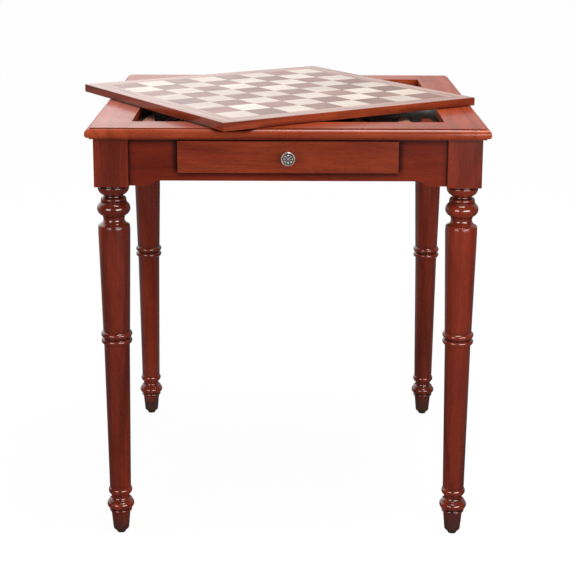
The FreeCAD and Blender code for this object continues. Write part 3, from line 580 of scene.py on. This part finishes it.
def new_group(name, inputs, outputs):
    """An empty node group with named sockets, given as (name, kind, first value)."""
    tree = bpy.data.node_groups.new(name, "ShaderNodeTree")
    for title, kind, value in inputs:
        socket = tree.interface.new_socket(title, in_out="INPUT", socket_type="NodeSocket" + kind)
        if value is not None:
            socket.default_value = value
    for title, kind in outputs:
        tree.interface.new_socket(title, in_out="OUTPUT", socket_type="NodeSocket" + kind)
    entry = tree.nodes.new("NodeGroupInput")
    leave = tree.nodes.new("NodeGroupOutput")
    return tree, entry.outputs, leave


def grouped(tree, group, inputs):
    """Place a group in a network, with its own values."""
    made = tree.nodes.new("ShaderNodeGroup")
    made.node_tree = group
    return fill(tree, made, inputs).outputs


print("helpers for nodes ready")

# %% [markdown]
# ## Wood
#
# Wood is long cells in yearly layers.  Close up it shows fine fibres and short dark pores, from
# further away broad ribbons where the layers catch the light, and lines where a flat cut crosses
# them.  All of these are noises stretched along the grain, so one group makes them all.  It takes
# coordinates whose X runs with the grain, and three colours, and each material sets its own.

# %% The wood group
# How fine each noise is, to the metre: along the grain, and the two ways across it.
RIBBONS_FINE = (2.6, 17, 17)
FIBRES_FINE = (9, 260, 260)
LAYERS_FINE = (0.5, 3.4, 3.4)
PORES_FINE = (110, 1500, 1500)
CLOUDS_FINE = (3, 5, 5)


def wood_group():
    """The figure of wood: its colour, its height for a bump, and its fibres."""
    tree, given, result = new_group(
        "Wood figure",
        [("Vector", "Vector", None), ("Light", "Color", None), ("Dark", "Color", None),
         ("Line", "Color", None), ("Ribbons", "Float", 1.0), ("Lines", "Float", 0.4),
         ("Pores", "Float", 0.5), ("Scale", "Float", 1.0)],
        [("Color", "Color"), ("Height", "Float")])
    vector = add(tree, "VectorMath", {0: given["Vector"], "Scale": given["Scale"]},
                 operation="SCALE").outputs[0]
    ribbons = noise(tree, vector, RIBBONS_FINE, 5.0, 0.62, 0.7)
    fibres = noise(tree, vector, FIBRES_FINE, 3.0, 0.6)
    layers = add(tree, "TexWave", {"Vector": scaled(tree, vector, LAYERS_FINE), "Scale": 3.0,
                                   "Distortion": 9.0, "Detail": 3.0, "Detail Scale": 1.3,
                                   "Detail Roughness": 0.6}, bands_direction="Y").outputs[1]
    pores = noise(tree, vector, PORES_FINE, 1.0)
    clouds = noise(tree, vector, CLOUDS_FINE)
    ribbon_mask = maths(tree, "MULTIPLY", spread(tree, ribbons, 0.34, 0.68), given["Ribbons"], True)
    base = mixed(tree, ribbon_mask, given["Dark"], given["Light"])
    line_mask = maths(tree, "MULTIPLY", spread(tree, layers, 0.62, 1.0), given["Lines"], True)
    base = mixed(tree, line_mask, base, given["Line"])
    fibre_tone = spread(tree, fibres, 0.25, 0.75, 0.8, 1.16)
    base = mixed(tree, 1.0, base, fibre_tone, "MULTIPLY")
    cloud_tone = spread(tree, clouds, 0.3, 0.7, 0.88, 1.1)
    base = mixed(tree, 1.0, base, cloud_tone, "MULTIPLY")
    pore_mask = maths(tree, "MULTIPLY", spread(tree, pores, 0.6, 0.7), given["Pores"], True)
    base = mixed(tree, pore_mask, base, given["Line"])
    height = maths(tree, "SUBTRACT", maths(tree, "MULTIPLY", fibres, 0.5), pore_mask)
    fill(tree, result, {"Color": base, "Height": height})
    return tree


WOOD = wood_group()
print("wood group has", len(WOOD.nodes), "nodes")

# %% [markdown]
# ## Lacquer and wear
#
# A lacquered surface is never even: the film is a little thicker here and thinner there, cloths
# leave faint rubs, and on the arrises it is worn through to lighter wood.  One group gives a
# roughness that wanders, a mask of the worn arrises and a slow ripple for the bump.  The Bevel
# node finds arrises: near one its rounded normal leaves the true normal.

# %% The lacquer group
FILM_FINE = 16.0
RUBS_FINE = (60, 9, 60)  # so the rubs are long across the grain
PATCHES_FINE = 70.0
RIPPLE_FINE = 12.0


def lacquer_group():
    """What use does to a finish: its roughness, where it is worn through, and its ripple."""
    tree, given, result = new_group(
        "Lacquer wear",
        [("Vector", "Vector", None), ("Shine", "Float", 0.2), ("Unevenness", "Float", 0.08),
         ("Arris", "Float", 0.0015), ("Wear", "Float", 0.5)],
        [("Roughness", "Float"), ("Worn", "Float"), ("Ripple", "Float")])
    film = spread(tree, noise(tree, given["Vector"], FILM_FINE, 4.0), 0.3, 0.7, -0.5, 0.5)
    rubs = spread(tree, noise(tree, given["Vector"], RUBS_FINE, 5.0, 0.7), 0.3, 0.75, -0.4, 0.6)
    uneven = maths(tree, "MULTIPLY", maths(tree, "ADD", film, rubs), given["Unevenness"])
    soft = add(tree, "Bevel", {"Radius": given["Arris"]}, samples=4).outputs[0]
    true = add(tree, "NewGeometry").outputs["Normal"]
    agree = add(tree, "VectorMath", {0: soft, 1: true}, operation="DOT_PRODUCT").outputs["Value"]
    arris = spread(tree, agree, 0.95, 0.80)
    patches = spread(tree, noise(tree, given["Vector"], PATCHES_FINE, 4.0, 0.7), 0.42, 0.62)
    worn = maths(tree, "MULTIPLY", arris, patches, True)
    fill(tree, result, {"Roughness": maths(tree, "ADD", uneven, given["Shine"], True),
                        "Worn": maths(tree, "MULTIPLY", worn, given["Wear"], True),
                        "Ripple": noise(tree, given["Vector"], RIPPLE_FINE, 1.0)})
    return tree


LACQUER = lacquer_group()
print("lacquer group has", len(LACQUER.nodes), "nodes")

# %% Start a material and give it to pieces
def new_material(name):
    """A material with an empty network except its shader and output."""
    material = bpy.data.materials.new(name)
    material.use_nodes = True
    tree = material.node_tree
    return material, tree, tree.nodes["Principled BSDF"]


def give(material, *nodes):
    """Give plain nodes, by name, or new pieces this finish."""
    for node in nodes:
        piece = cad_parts[node] if isinstance(node, str) else node
        piece.data.materials.clear()
        piece.data.materials.append(material)
    print(material.name, "on", len(nodes), "pieces")


# %% [markdown]
# ## One recipe for every lacquered wood
#
# The recipe turns the coordinates so that their X runs with the grain, asks the wood group for its
# colours, darkens the hollows and the gaps between parts, partly as stain gathered where no cloth
# reaches and partly as painted shade, lightens the worn arrises, and lays a clear coat over a softer
# layer.  Ambient occlusion finds the hollows: it gives 1 in the open and less where walls stand near,
# and the glaze and painted shade fade out between the two values of closed.  The coat's own numbers
# stay the same all over, so they are set on the shader itself.

# %% The lacquered wood recipe
ALONG_X = (0.0, 0.0, 0.0)
ALONG_Y = (0.0, 0.0, math.radians(90))
ALONG_Z = (0.0, math.radians(90), 0.0)
ALONG_BOARD = (0.0, 0.0, -BOARD_TURN)
ACROSS_BOARD = (0.0, 0.0, math.radians(90) - BOARD_TURN)
GLAZE_AND_SHADE = (0.16, 0.08, 0.08, 1)  # what the stain and the painted shade in the hollows let through


def grain_vector(tree, grain, shift=(0.0, 0.0, 0.0)):
    """Object coordinates turned so that X runs with the grain."""
    mapping = {"Vector": object_place(tree), "Rotation": grain, "Location": shift}
    return add(tree, "Mapping", mapping).outputs[0]


def lacquered(name, grain, colours, shine=0.3, lines=0.4, pores=0.5, scale=1.0,
              shift=(0.0, 0.0, 0.0), coat=0.9, coat_shine=0.12, coat_index=1.5, relief=0.04,
              hollow=9 * MM, closed=(0.40, 0.92), wear=0.5, tone=None):
    """Wood under lacquer.

    grain is a turn of the coordinates, or a function that makes them.  colours are those of the
    light and the dark ribbons, of lines and pores, and of worn arrises; tone may change the wood's
    colour.  hollow is how wide a hollow is that is darkened with glaze and painted shade.
    """
    light, dark, line, worn = colours
    material, tree, shader = new_material(name)
    along = grain(tree) if callable(grain) else grain_vector(tree, grain, shift)
    wood = grouped(tree, WOOD, {"Vector": along, "Light": light, "Dark": dark, "Line": line,
                                "Lines": lines, "Pores": pores, "Scale": scale})
    film = grouped(tree, LACQUER, {"Vector": along, "Shine": shine, "Wear": wear})
    colour = tone(tree, wood["Color"]) if tone else wood["Color"]
    # Painted shade: ambient occlusion darkens hollows and gaps between parts, together with the stain
    # gathered there.
    open_air = add(tree, "AmbientOcclusion", {"Distance": hollow}, samples=6).outputs["AO"]
    stained = mixed(tree, 1.0, colour, GLAZE_AND_SHADE, "MULTIPLY")
    colour = mixed(tree, spread(tree, open_air, *closed), stained, colour)
    colour = mixed(tree, film["Worn"], colour, worn)
    height = maths(tree, "ADD", maths(tree, "MULTIPLY", wood["Height"], 0.25), film["Ripple"])
    bump = add(tree, "Bump", {"Height": height, "Strength": relief, "Distance": 0.0005})
    fill(tree, shader, {"Base Color": colour, "Roughness": film["Roughness"],
                        "Normal": bump.outputs[0], "Specular IOR Level": 0.10,
                        "Coat Weight": coat, "Coat Roughness": coat_shine, "Coat IOR": coat_index})
    return material


print("the grain of the board is turned by", round(math.degrees(BOARD_TURN), 1), "degrees")

# %% [markdown]
# ## Red mahogany
#
# The legs, aprons, rails and the drawer's front are mahogany stained red-brown.  Legs and aprons
# are the darkest, the drawer's front is cut to show its figure, and the top is the lightest, so the
# same recipe gets three sets of colours and a grain that runs along each board.  The legs have the
# glossiest coat, because a turner polishes them on the lathe.  Their colour is made darker near the
# floor, up to a height that wanders.

# %% Mahogany finishes
# Each wood's colours: light ribbons, dark ribbons, lines and pores, worn arrises.
RED_LINE = (0.040, 0.004, 0.002, 1)
RED_WORN = (0.34, 0.075, 0.025, 1)
RED = [(0.240, 0.0245, 0.0060, 1), (0.120, 0.0105, 0.0030, 1), RED_LINE, RED_WORN]
# The drawer front's worn colour is paler than the rest: partly wear, partly a painted highlight along
# its edges.
FRONT_RED = [(0.285, 0.043, 0.012, 1), (0.155, 0.018, 0.006, 1), RED_LINE, (0.440, 0.140, 0.080, 1)]
TOP_RED = [(0.390, 0.066, 0.022, 1), (0.260, 0.037, 0.012, 1), RED_LINE, RED_WORN]
LIPPING_RED = [TOP_RED[0], RED[1], RED_LINE, RED_WORN]
FOOT_DARK = (0.060, 0.017, 0.012, 1)  # the colour the legs darken to near the floor
FOOT_DARK_FULL = 0.025  # up to this height the foot is all dark
FOOT_DARK_NONE = 0.055  # and from this height up not at all
FOOT_DARK_WANDERS = 0.015  # how far the edge of the dark part goes up and down


def darker_near_floor(tree, colour):
    """Darker towards the floor, in uneven patches."""
    place = object_place(tree)
    patches = noise(tree, place, 25.0, 3.0)
    wander = spread(tree, patches, 0.3, 0.7, -FOOT_DARK_WANDERS, FOOT_DARK_WANDERS)
    reach = maths(tree, "ADD", upward(tree, place), wander)
    dark = spread(tree, reach, FOOT_DARK_NONE, FOOT_DARK_FULL)
    return mixed(tree, dark, colour, FOOT_DARK)


leg_wood = lacquered("Mahogany of the legs", ALONG_Z, RED, shine=0.24, tone=darker_near_floor,
                     coat=1.0, coat_shine=0.16, coat_index=1.85, closed=(0.50, 0.92))
# On the aprons the wider hollow and higher closed paint shade under the drawer front and beside the
# posts.
apron_kind = {"shine": 0.34, "hollow": 13 * MM, "closed": (0.74, 0.92)}
apron_wood_x = lacquered("Mahogany of the front and back aprons", ALONG_X, RED, **apron_kind)
apron_wood_y = lacquered("Mahogany of the side aprons", ALONG_Y, RED, **apron_kind)
# The drawer front's worn arrises are made stronger: partly wear, partly a painted highlight along its
# edges.
front_wood = lacquered("Mahogany of the drawer front", ALONG_X, FRONT_RED, shine=0.34, lines=0.3,
                       wear=0.9, shift=(0.3, 0.1, 0.2))
rail_kind = {"lines": 0.2, "coat": 0.40, "coat_index": 1.6, "relief": 0.006}
rail_wood_x = lacquered("Mahogany of the end rails", ALONG_X, TOP_RED, **rail_kind)
rail_wood_y = lacquered("Mahogany of the side rails", ALONG_Y, TOP_RED, shift=(0.7, 0.2, 0.1),
                        **rail_kind)
lipping_x = lacquered("Mahogany lipping along the board", ALONG_BOARD, LIPPING_RED, shine=0.34)
lipping_y = lacquered("Mahogany lipping across the board", ACROSS_BOARD, LIPPING_RED, shine=0.34)
give(leg_wood, *legs.values())
give(apron_wood_x, "front_apron", "back_apron")
give(apron_wood_y, "left_apron", "right_apron")
give(front_wood, show_front)
give(rail_wood_x, rails["front"], rails["back"])
give(rail_wood_y, rails["left"], rails["right"])
give(lipping_x, lippings["front"], lippings["back"])
give(lipping_y, lippings["left"], lippings["right"])

# %% [markdown]
# ## The inlaid board
#
# The squares are cut from sheets of walnut and maple veneer.  Neighbouring squares come from
# different places in the sheet, so each differs a little in tone and figure.  Counting squares
# from the board's middle gives every square its own whole numbers, and white noise turns those
# into a tone and a shift of the pattern.

# %% Veneer squares
SQUARE = 59.4 * MM


def square_number(tree, along):
    """Whole numbers that tell one square from the next."""
    to_squares = {0: along, 1: (1 / SQUARE, 1 / SQUARE, 0)}
    counted = add(tree, "VectorMath", to_squares, operation="MULTIPLY").outputs[0]
    return add(tree, "VectorMath", {0: counted}, operation="FLOOR").outputs[0]


def square_vector(tree):
    """Coordinates along the board, shifted for each square."""
    along = grain_vector(tree, ALONG_BOARD)
    own = add(tree, "TexWhiteNoise", {"Vector": square_number(tree, along)}).outputs["Color"]
    return add(tree, "VectorMath", {0: along, 1: own}, operation="ADD").outputs[0]


def square_tone(tree, colour):
    """Each square a little lighter or darker than its neighbours."""
    number = square_number(tree, grain_vector(tree, ALONG_BOARD))
    own = add(tree, "TexWhiteNoise", {"Vector": number}).outputs["Value"]
    return mixed(tree, 1.0, colour, spread(tree, own, 0, 1, 0.8, 1.14), "MULTIPLY")


def veneer(light, dark, line):
    """Colours of a veneer, whose worn arrises are no lighter than the rest."""
    return [light, dark, line, light]


WALNUT_LINE = (0.120, 0.050, 0.040, 1)
MAPLE = veneer((0.62, 0.52, 0.45, 1), (0.55, 0.45, 0.38, 1), (0.44, 0.33, 0.27, 1))
WALNUT = veneer((0.270, 0.130, 0.095, 1), (0.190, 0.080, 0.060, 1), WALNUT_LINE)
veneer_kind = {"coat": 0.45, "coat_shine": 0.22, "coat_index": 1.6, "relief": 0.015}
light_squares = lacquered("Maple squares", square_vector, MAPLE, lines=0.25, pores=0.1, scale=1.6,
                          tone=square_tone, **veneer_kind)
dark_squares = lacquered("Walnut squares", square_vector, WALNUT, lines=0.5, pores=0.4, scale=1.6,
                         tone=square_tone, **veneer_kind)
give(light_squares, "squares_light")
give(dark_squares, "squares_dark")

# %% [markdown]
# The border is four strips mitred at the corners, and the grain of each runs along its own side.
# Which side a point is on follows from whether it lies further across or further along, so the
# coordinates are swapped by comparing the two.  The board's back is a plain sheet of walnut.

# %% The border's veneer
def border_vector(tree):
    """Coordinates whose X runs along the nearest side of the board."""
    along = grain_vector(tree, ALONG_BOARD)
    parts = add(tree, "SeparateXYZ", {0: along}).outputs
    first, second = [maths(tree, "ABSOLUTE", part) for part in parts[:2]]
    swapped = add(tree, "CombineXYZ", {0: parts[1], 1: parts[0], 2: parts[2]}).outputs[0]
    return mixed(tree, maths(tree, "GREATER_THAN", first, second), along, swapped)


BORDER = veneer((0.44, 0.29, 0.24, 1), (0.32, 0.18, 0.15, 1), WALNUT_LINE)
border_wood = lacquered("Walnut border", border_vector, BORDER, lines=0.5, pores=0.4, scale=1.3,
                        **veneer_kind)
backing_wood = lacquered("Walnut backing", ALONG_BOARD, WALNUT, shine=0.45, lines=0.5, pores=0.6,
                         coat=0.1, coat_shine=0.3)
give(border_wood, "board_border")
give(backing_wood, "board_backing")

# %% [markdown]
# ## The backgammon field
#
# The field in the well is veneer too: a ground stained black, with pale and red-brown points and a
# red-brown bar.  The points' grain runs along them, as a marquetry cutter would lay it.

# %% Field finishes
BLACK = veneer((0.020, 0.016, 0.014, 1), (0.010, 0.008, 0.007, 1), (0.004, 0.003, 0.003, 1))
PALE = veneer((0.62, 0.30, 0.19, 1), (0.52, 0.23, 0.14, 1), (0.34, 0.13, 0.07, 1))
POINT_RED = FRONT_RED[:3] + RED[:1]
field_ground = lacquered("Black stained ground", ALONG_X, BLACK, coat=0.8, coat_shine=0.16,
                         coat_index=1.6, relief=0.008)
field_light = lacquered("Pale points", ALONG_Y, PALE, coat=0.7, relief=0.01)
field_dark = lacquered("Red points and bar", ALONG_Y, POINT_RED, coat=0.7, relief=0.01)
give(field_ground, "field_ground")
give(field_light, "points_light")
give(field_dark, "points_dark", "field_bar")

# %% [markdown]
# ## Wood that is not lacquered
#
# The parts inside the frame are plain, and the drawer's box is only sealed, so the same wood group
# is used with a dull shader and no coat.  Plywood shows its plies on its edges: thin layers that
# change from pale to brown with height.

# %% Plain wood and plywood
def plain(name, grain, colours, rough=0.62, scale=1.0, plies=0.0):
    """Unlacquered wood; plies above zero adds layers of that thickness at the edges."""
    light, dark, line = colours
    material, tree, shader = new_material(name)
    along = grain_vector(tree, grain)
    wood = grouped(tree, WOOD, {"Vector": along, "Light": light, "Dark": dark, "Line": line,
                                "Ribbons": 0.8, "Lines": 0.5, "Pores": 0.3, "Scale": scale})
    film = grouped(tree, LACQUER, {"Vector": along, "Shine": rough, "Unevenness": 0.14, "Wear": 0.6})
    colour = wood["Color"]
    if plies:
        level = upward(tree, object_place(tree))
        brown = maths(tree, "GREATER_THAN", maths(tree, "PINGPONG", level, plies), plies / 2)
        facing_up = maths(tree, "ABSOLUTE", upward(tree, add(tree, "NewGeometry").outputs["Normal"]))
        on_edge = maths(tree, "LESS_THAN", facing_up, 0.5)
        colour = mixed(tree, maths(tree, "MULTIPLY", brown, on_edge), colour, dark)
    colour = mixed(tree, film["Worn"], colour, light)
    height = maths(tree, "ADD", wood["Height"], film["Ripple"])
    bump = add(tree, "Bump", {"Height": height, "Strength": 0.25, "Distance": 0.0008})
    fill(tree, shader, {"Base Color": colour, "Roughness": film["Roughness"],
                        "Normal": bump.outputs[0], "Specular IOR Level": 0.3})
    return material


# Light ribbons, dark ribbons, lines and pores.
FRAME_WOOD = [(0.52, 0.34, 0.18, 1), (0.40, 0.24, 0.12, 1), (0.26, 0.14, 0.07, 1)]
BOX_WOOD = [(0.64, 0.46, 0.28, 1), (0.52, 0.35, 0.20, 1), (0.26, 0.14, 0.07, 1)]
PLY_THICK = 0.9 * MM
frame_wood_x = plain("Plain wood across", ALONG_X, FRAME_WOOD)
frame_wood_y = plain("Plain wood front to back", ALONG_Y, FRAME_WOOD)
box_wood_x = plain("Sealed drawer wood across", ALONG_X, BOX_WOOD, 0.45)
box_wood_y = plain("Sealed drawer wood front to back", ALONG_Y, BOX_WOOD, 0.45)
plywood = plain("Plywood", ALONG_X, BOX_WOOD, 0.6, 1.2, PLY_THICK)
give(frame_wood_x, "brace_front_right", "brace_back_right", "brace_back_left", "brace_front_left",
     "rail_tongues", "drawer_stops", "cleat_back")
give(frame_wood_y, "drawer_runner_left", "drawer_runner_right", "drawer_kicker_left",
     "drawer_kicker_right", "cleat_left", "cleat_right")
give(box_wood_x, "drawer_box_front", "drawer_back")
give(box_wood_y, "drawer_side_left", "drawer_side_right")
give(plywood, "drawer_bottom", "field_panel", "board_core")

# %% [markdown]
# ## Metal and plastic
#
# The knob is pewter, blackened and then rubbed bright where fingers reach.  Ambient occlusion finds
# the recesses, where the black stays.  The screw is plated steel, brushed round its length, and the
# glides are black plastic, scuffed by the floor.  In each of them one noise drives the
# colour, the roughness and the bump, because a scratch changes all three.

# %% Pewter, steel and plastic
def pewter_finish():
    """Black in the recesses, rubbed bright where it stands out."""
    material, tree, shader = new_material("Antique pewter")
    grit = noise(tree, object_place(tree), 900.0, 4.0)
    open_sky = add(tree, "AmbientOcclusion", {"Distance": 2.2 * MM}, samples=8).outputs["AO"]
    rubbed = maths(tree, "ADD", open_sky, maths(tree, "MULTIPLY", grit, 0.2))
    rubbed = spread(tree, rubbed, 0.62, 1.0)
    colour = mixed(tree, rubbed, (0.012, 0.011, 0.010, 1), (0.42, 0.385, 0.37, 1))
    bump = add(tree, "Bump", {"Height": grit, "Strength": 0.1, "Distance": 0.0001})
    fill(tree, shader, {"Base Color": colour, "Roughness": spread(tree, rubbed, 0, 1, 0.60, 0.34),
                        "Metallic": 0.7, "Normal": bump.outputs[0]})
    return material


def steel_finish():
    """Brushed round the screw, whose length runs from front to back."""
    material, tree, shader = new_material("Plated steel")
    brushed = noise(tree, object_place(tree), (2500, 60, 2500))
    colour = mixed(tree, brushed, (0.50, 0.50, 0.50, 1), (0.68, 0.67, 0.64, 1))
    bump = add(tree, "Bump", {"Height": brushed, "Strength": 0.1, "Distance": 0.0001})
    fill(tree, shader, {"Base Color": colour, "Metallic": 1.0, "Normal": bump.outputs[0],
                        "Roughness": spread(tree, brushed, 0.2, 0.8, 0.22, 0.42)})
    return material


def plastic_finish():
    """Black, greyer where it is scuffed."""
    material, tree, shader = new_material("Scuffed black plastic")
    scuffs = noise(tree, object_place(tree), (140, 140, 900), 5.0, 0.7)
    worn = spread(tree, scuffs, 0.5, 0.72)
    colour = mixed(tree, worn, (0.022, 0.020, 0.021, 1), (0.085, 0.078, 0.074, 1))
    bump = add(tree, "Bump", {"Height": scuffs, "Strength": 0.2, "Distance": 0.0003})
    fill(tree, shader, {"Base Color": colour, "Normal": bump.outputs[0],
                        "Roughness": spread(tree, scuffs, 0.3, 0.7, 0.38, 0.62)})
    return material


give(pewter_finish(), knob)
give(steel_finish(), "knob_screw")
give(plastic_finish(), "glides")

# %% [markdown]
# ## Floor, light and camera
#
# The table stands on a plain pale floor in a white room.  To the camera both are white, and the
# floor keeps a faint shadow.  What is reflected isn't white all round, though: behind the table
# stands the white backdrop, and on the camera's side the studio is dim, so that the red of the
# polished wood isn't washed out.  So every shader of the room asks what kind of ray looks at it.

# %% What a ray sees
STUDIO = 0.02  # the dim side of the studio, in reflections
RIGHT_SHARE = 0.30  # the backdrop's right half, as a share of the left half
TURNS_DIM = (0.12, -0.12)  # from where to where across it changes to the left half
BACK_FADES = (0.05, 0.6)  # from where to where along it changes to the backdrop


def seen(tree):
    """One for camera, mirror and clear rays, zero for those that carry light."""
    path = add(tree, "LightPath").outputs
    clear = maths(tree, "MAXIMUM", path["Is Camera Ray"], path["Is Transmission Ray"])
    return maths(tree, "MAXIMUM", clear, path["Is Glossy Ray"])


def towards_back(tree, across, along, brightest):
    """Brightest at the back and left, dimmer at the back and right, dim on the camera's side."""
    left = spread(tree, across, *TURNS_DIM, RIGHT_SHARE, 1.0)
    back = maths(tree, "MULTIPLY", spread(tree, along, *BACK_FADES), left)
    return spread(tree, back, 0, 1, STUDIO, brightest)


print("reflections see", STUDIO, "on the camera's side")

# %% The floor
FLOOR_SIDE = 60.0
FLOOR_SHOWS = 0.92  # share of the floor that is plain white to the camera
FLOOR_WHITE = 1.045  # makes up for the share that isn't
FLOOR_GLEAM = 0.15  # the floor behind the table, in reflections
let_go()
bpy.ops.mesh.primitive_plane_add(size=FLOOR_SIDE, location=(0, 0, 0))
floor = settle(bpy.context.object, "floor")
floor_paint, tree, shader = new_material("Pale floor")
grit = add(tree, "TexNoise", {"Scale": 30.0}).outputs[0]
tone = mixed(tree, grit, (0.42, 0.42, 0.42, 1), (0.46, 0.46, 0.46, 1))
fill(tree, shader, {"Base Color": tone, "Roughness": 0.9, "Specular IOR Level": 0.0})
spot = add(tree, "SeparateXYZ", {0: object_place(tree)}).outputs
in_gloss = add(tree, "LightPath").outputs["Is Glossy Ray"]
gleam = towards_back(tree, spot[0], spot[1], FLOOR_GLEAM)
brightness = blended(tree, in_gloss, FLOOR_WHITE, gleam)
white = add(tree, "Emission", {"Color": (1, 1, 1, 1), "Strength": brightness}).outputs[0]
share = maths(tree, "MULTIPLY", seen(tree), FLOOR_SHOWS)
shown = add(tree, "MixShader", {0: share, 1: shader.outputs[0], 2: white}).outputs[0]
fill(tree, tree.nodes["Material Output"], {"Surface": shown})
give(floor_paint, floor)

# %% [markdown]
# The room's strength depends on what looks at it.  The camera sees 1, which is white.  A mirror
# ray sees the white backdrop where it goes back, behind the table, and a dim studio where it comes
# towards the camera.  Light itself comes a little stronger from the back than from the front, and
# strongest from the ceiling, which only the flat tops face.

# %% The room
BACKDROP = 1.25  # the backdrop in reflections, a little more than white
ROOM_LIGHT = (0.17, 0.34)  # light on the wood, from the front and from the back
CEILING = 0.75  # and what the ceiling adds from straight above
world = bpy.data.worlds.new("White room")
bpy.context.scene.world = world
world.use_nodes = True
room = world.node_tree
way = add(room, "SeparateXYZ", {0: add(room, "TexCoord").outputs["Generated"]}).outputs
in_gloss = add(room, "LightPath").outputs["Is Glossy Ray"]
from_walls = spread(room, way[1], -1, 1, *ROOM_LIGHT)
from_above = spread(room, way[2], 0, 1, 0, CEILING)
strength = maths(room, "MAXIMUM", seen(room), maths(room, "ADD", from_walls, from_above))
strength = blended(room, in_gloss, strength, towards_back(room, way[0], way[1], BACKDROP))
fill(room, room.nodes["Background"], {"Color": (1, 1, 1, 1), "Strength": strength})
print("the room has", len(room.nodes), "nodes")

# %% [markdown]
# Two wide, low soft boxes stand to the left and right of the camera; in every bead they make the
# pair of highlights by which one reads a turned leg.  The right one is the lower and flatter, so
# that the polished top hardly mirrors it to someone behind the table.  A third box hangs above and
# lays the bright line along the moulding of the top.

# %% The soft boxes
# Name, place, width and height in metres, and watts.
SOFT_BOXES = [("soft_box_left", (-1.9, -3.0, 1.12), 1.7, 0.9, 30),
              ("soft_box_right", (1.3, -2.13, 0.90), 1.7, 0.55, 27),
              ("soft_box_above", (0.4, -0.08, 2.6), 1.8, 0.9, 46)]
AIM_LEVEL = 0.7  # the boxes look at this share of the top's height


def soft_box(name, place, wide, tall, power):
    """A broad lamp that looks at the middle of the table."""
    lamp = bpy.data.lights.new(name, "AREA")
    lamp.shape = "RECTANGLE"
    lamp.size = wide
    lamp.size_y = tall
    lamp.energy = power
    stand = bpy.data.objects.new(name, lamp)
    bpy.context.scene.collection.objects.link(stand)
    stand.location = place
    aim = Vector((MIDDLE.x, MIDDLE.y, FACE * AIM_LEVEL)) - stand.location
    stand.rotation_euler = aim.to_track_quat("-Z", "Y").to_euler()
    print(name, "at", place)


for box in SOFT_BOXES:
    soft_box(*box)

# %% [markdown]
# The camera stands straight in front, a little above the top, and looks slightly down.  Its
# picture is shifted rather than tilted further, so that the legs stay nearly upright in it.

# %% The camera
PICTURE = 576  # pixels across the square picture
FOCAL = 1445.13  # focal length in those pixels
SENSOR = 36.0
AXIS_UP = 80  # pixels from the picture's middle up to the lens axis
PITCH = math.radians(12.922)
YAW = math.radians(0.063)
ROLL = math.radians(0.199)
FROM_MIDDLE = Vector((-2.407, -2792.148)) * MM
EYE_LEVEL = 1186.62 * MM
camera_data = bpy.data.cameras.new("camera")
camera_data.sensor_width = SENSOR
camera_data.lens = FOCAL * SENSOR / PICTURE
camera_data.shift_y = -AXIS_UP / PICTURE
camera = bpy.data.objects.new("camera", camera_data)
bpy.context.scene.collection.objects.link(camera)
eye = Vector((MIDDLE.x + FROM_MIDDLE.x, MIDDLE.y + FROM_MIDDLE.y, EYE_LEVEL))
tilt = Matrix.Rotation(-YAW, 4, "Z") @ Matrix.Rotation(math.radians(90) - PITCH, 4, "X")
camera.matrix_world = Matrix.Translation(eye) @ tilt @ Matrix.Rotation(ROLL, 4, "Z")
bpy.context.scene.camera = camera
bpy.context.scene.view_settings.view_transform = "Standard"
print("camera at", tuple(eye))
